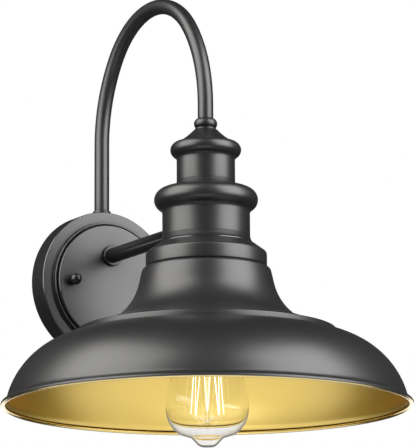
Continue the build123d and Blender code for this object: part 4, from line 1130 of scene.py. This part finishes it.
def pale_floor():
    """Pale matt floor that shows as white background and still takes the object's shadow."""
    finish = new_finish("pale_floor")
    pale = finish.blend(finish.noise(6.0, 2.0), (0.86, 0.86, 0.86), (0.90, 0.90, 0.90))
    matt = finish.node("BsdfDiffuse", None, {"Color": pale}).outputs[0]
    clear = finish.node("BsdfTransparent").outputs[0]
    path = finish.node("LightPath").outputs
    seen = Value(finish, path["Is Camera Ray"])
    through = Value(finish, path["Is Transmission Ray"])
    lit = finish.either(seen * FLOOR_GLOW + through, matt, finish.white_light("Emission", 1.0))
    # mirrored, the floor falls off from under the shade to its edge
    under_shade = finish.placed((0, AXIS.y, FLOOR_Z), (POOL_R, POOL_R, POOL_R))
    pool = finish.node("TexGradient", {"gradient_type": "SPHERICAL"}, {"Vector": under_shade})
    dim = finish.white_light("Emission", POOL_DIM)
    bright = finish.white_light("Emission", POOL_BRIGHT)
    mirrored = finish.either(pool.outputs["Fac"], dim, bright)
    soft = finish.either(path["Is Glossy Ray"], lit, mirrored)
    back = finish.node("NewGeometry").outputs["Backfacing"]
    shown = finish.either(back, soft, clear)
    finish.node("OutputMaterial", None, {"Surface": shown})
    return finish.owner


def make_floor():
    place = (0, AXIS.y, FLOOR_Z)
    floor = lone("circle", vertices=96, radius=FLOOR_R, fill_type="NGON", location=place)
    floor.name = "floor"
    floor.data.materials.append(pale_floor())


def make_world():
    """White behind the lantern, a faint even light on it, and little for it to mirror."""
    world = bpy.data.worlds.new("plain_room")
    bpy.context.scene.world = world
    finish = Finish(world)
    path = finish.node("LightPath").outputs
    seen = Value(finish, path["Is Camera Ray"])
    through = Value(finish, path["Is Transmission Ray"])
    room = finish.white_light("Background", ROOM_LIGHT)
    white = finish.white_light("Background", 1.0)
    dim = finish.white_light("Background", ROOM_MIRRORED)
    shown = finish.either(seen + through, finish.either(path["Is Glossy Ray"], room, dim), white)
    finish.node("OutputWorld", None, {"Surface": shown})


def aim(thing, at, target, roll=0.0):
    """Puts a lamp or the camera at a place, looking at a point, level but for its roll."""
    back = (at - target).normalized()
    right = UP.cross(back).normalized()
    up = back.cross(right)
    level = right * cos(roll) + up * sin(roll)
    upright = up * cos(roll) - right * sin(roll)
    turn = Matrix((level, upright, back)).transposed().to_4x4()
    thing.matrix_world = Matrix.Translation(at) @ turn


def stand(name, data):
    """Puts a lamp or the camera in the scene."""
    holder = bpy.data.objects.new(name, data)
    bpy.context.scene.collection.objects.link(holder)
    return holder


def soft_lamp(name, shape, width, height, radiance):
    """An area lamp given by its brightness, which the camera and the glass don't show."""
    lamp = bpy.data.lights.new(name, "AREA")
    lamp.shape = shape
    lamp.size, lamp.size_y = width, height
    area = pi * (width / 2) ** 2 if shape == "DISK" else width * height
    lamp.energy = radiance * pi * area
    holder = stand(name, lamp)
    holder.visible_camera = False
    holder.visible_transmission = False
    return holder


def soft_box(name, azimuth, elevation, distance, width, height, radiance):
    """A rectangular soft lamp, aimed at the spun stack."""
    holder = soft_lamp(name, "RECTANGLE", width, height, radiance)
    middle = Vector((0, AXIS.y, AXIS.z + LAMP_AIM))
    aim(holder, middle + direction(azimuth, elevation) * distance, middle)
    return holder


def light_only(holder, *pieces):
    """Keeps a lamp's light to the named pieces."""
    group = bpy.data.collections.new(holder.name + "_pieces")
    for piece in pieces:
        group.objects.link(bpy.data.objects[piece])
    holder.light_linking.receiver_collection = group


def make_lining_light():
    """A wide soft lamp low under the shade that lights its lining alone."""
    width = LINING_LAMP_WIDTH
    holder = soft_lamp("lining_light", "DISK", width, width, LINING_LAMP_RADIANCE)
    on_floor = Vector((0, AXIS.y, FLOOR_Z + LINING_LAMP_LIFT))
    holder.location = on_floor + direction(CAMERA_AZIMUTH, 0.0) * LINING_LAMP_AWAY
    holder.rotation_euler = (pi, 0, 0)
    light_only(holder, "spun_shade", "rolled_rim")


def make_lamps():
    soft_box("right_soft_box", 30.0, 22.5, 1.3, width=1.30, height=1.78, radiance=3.35)
    left = soft_box("left_soft_box", -98.0, 28.0, 1.3, width=1.48, height=1.68, radiance=2.85)
    left.data.color = (1.0, 0.99, 0.965)
    soft_box("low_soft_box", -40.0, -62.0, 0.9, width=0.7, height=0.7, radiance=1.7)
    make_lining_light()
    behind = (CAMERA_AZIMUTH + 180.0, 12.0, 1.4)
    rim_box = soft_box("rim_soft_box", *behind, width=2.2, height=1.6, radiance=1.3)
    light_only(rim_box, "rolled_rim")
    glass_box = soft_box("glass_soft_box", *behind, width=2.2, height=1.6, radiance=0.5)
    light_only(glass_box, "blown_envelope")


def make_camera():
    camera = bpy.data.cameras.new("camera")
    camera.sensor_width = 36.0
    camera.lens = LENS
    camera.clip_start = 0.05
    holder = stand("camera", camera)
    x, y, z = CAMERA_AIM
    target = Vector((x, AXIS.y + y, AXIS.z + z))
    at = target + direction(CAMERA_AZIMUTH, CAMERA_ELEVATION) * CAMERA_DISTANCE
    aim(holder, at, target, radians(CAMERA_ROLL))
    bpy.context.scene.camera = holder


make_floor()
make_world()
make_lamps()
make_camera()

scene = bpy.context.scene
scene.view_settings.view_transform = "Standard"
bpy.context.view_layer.update()
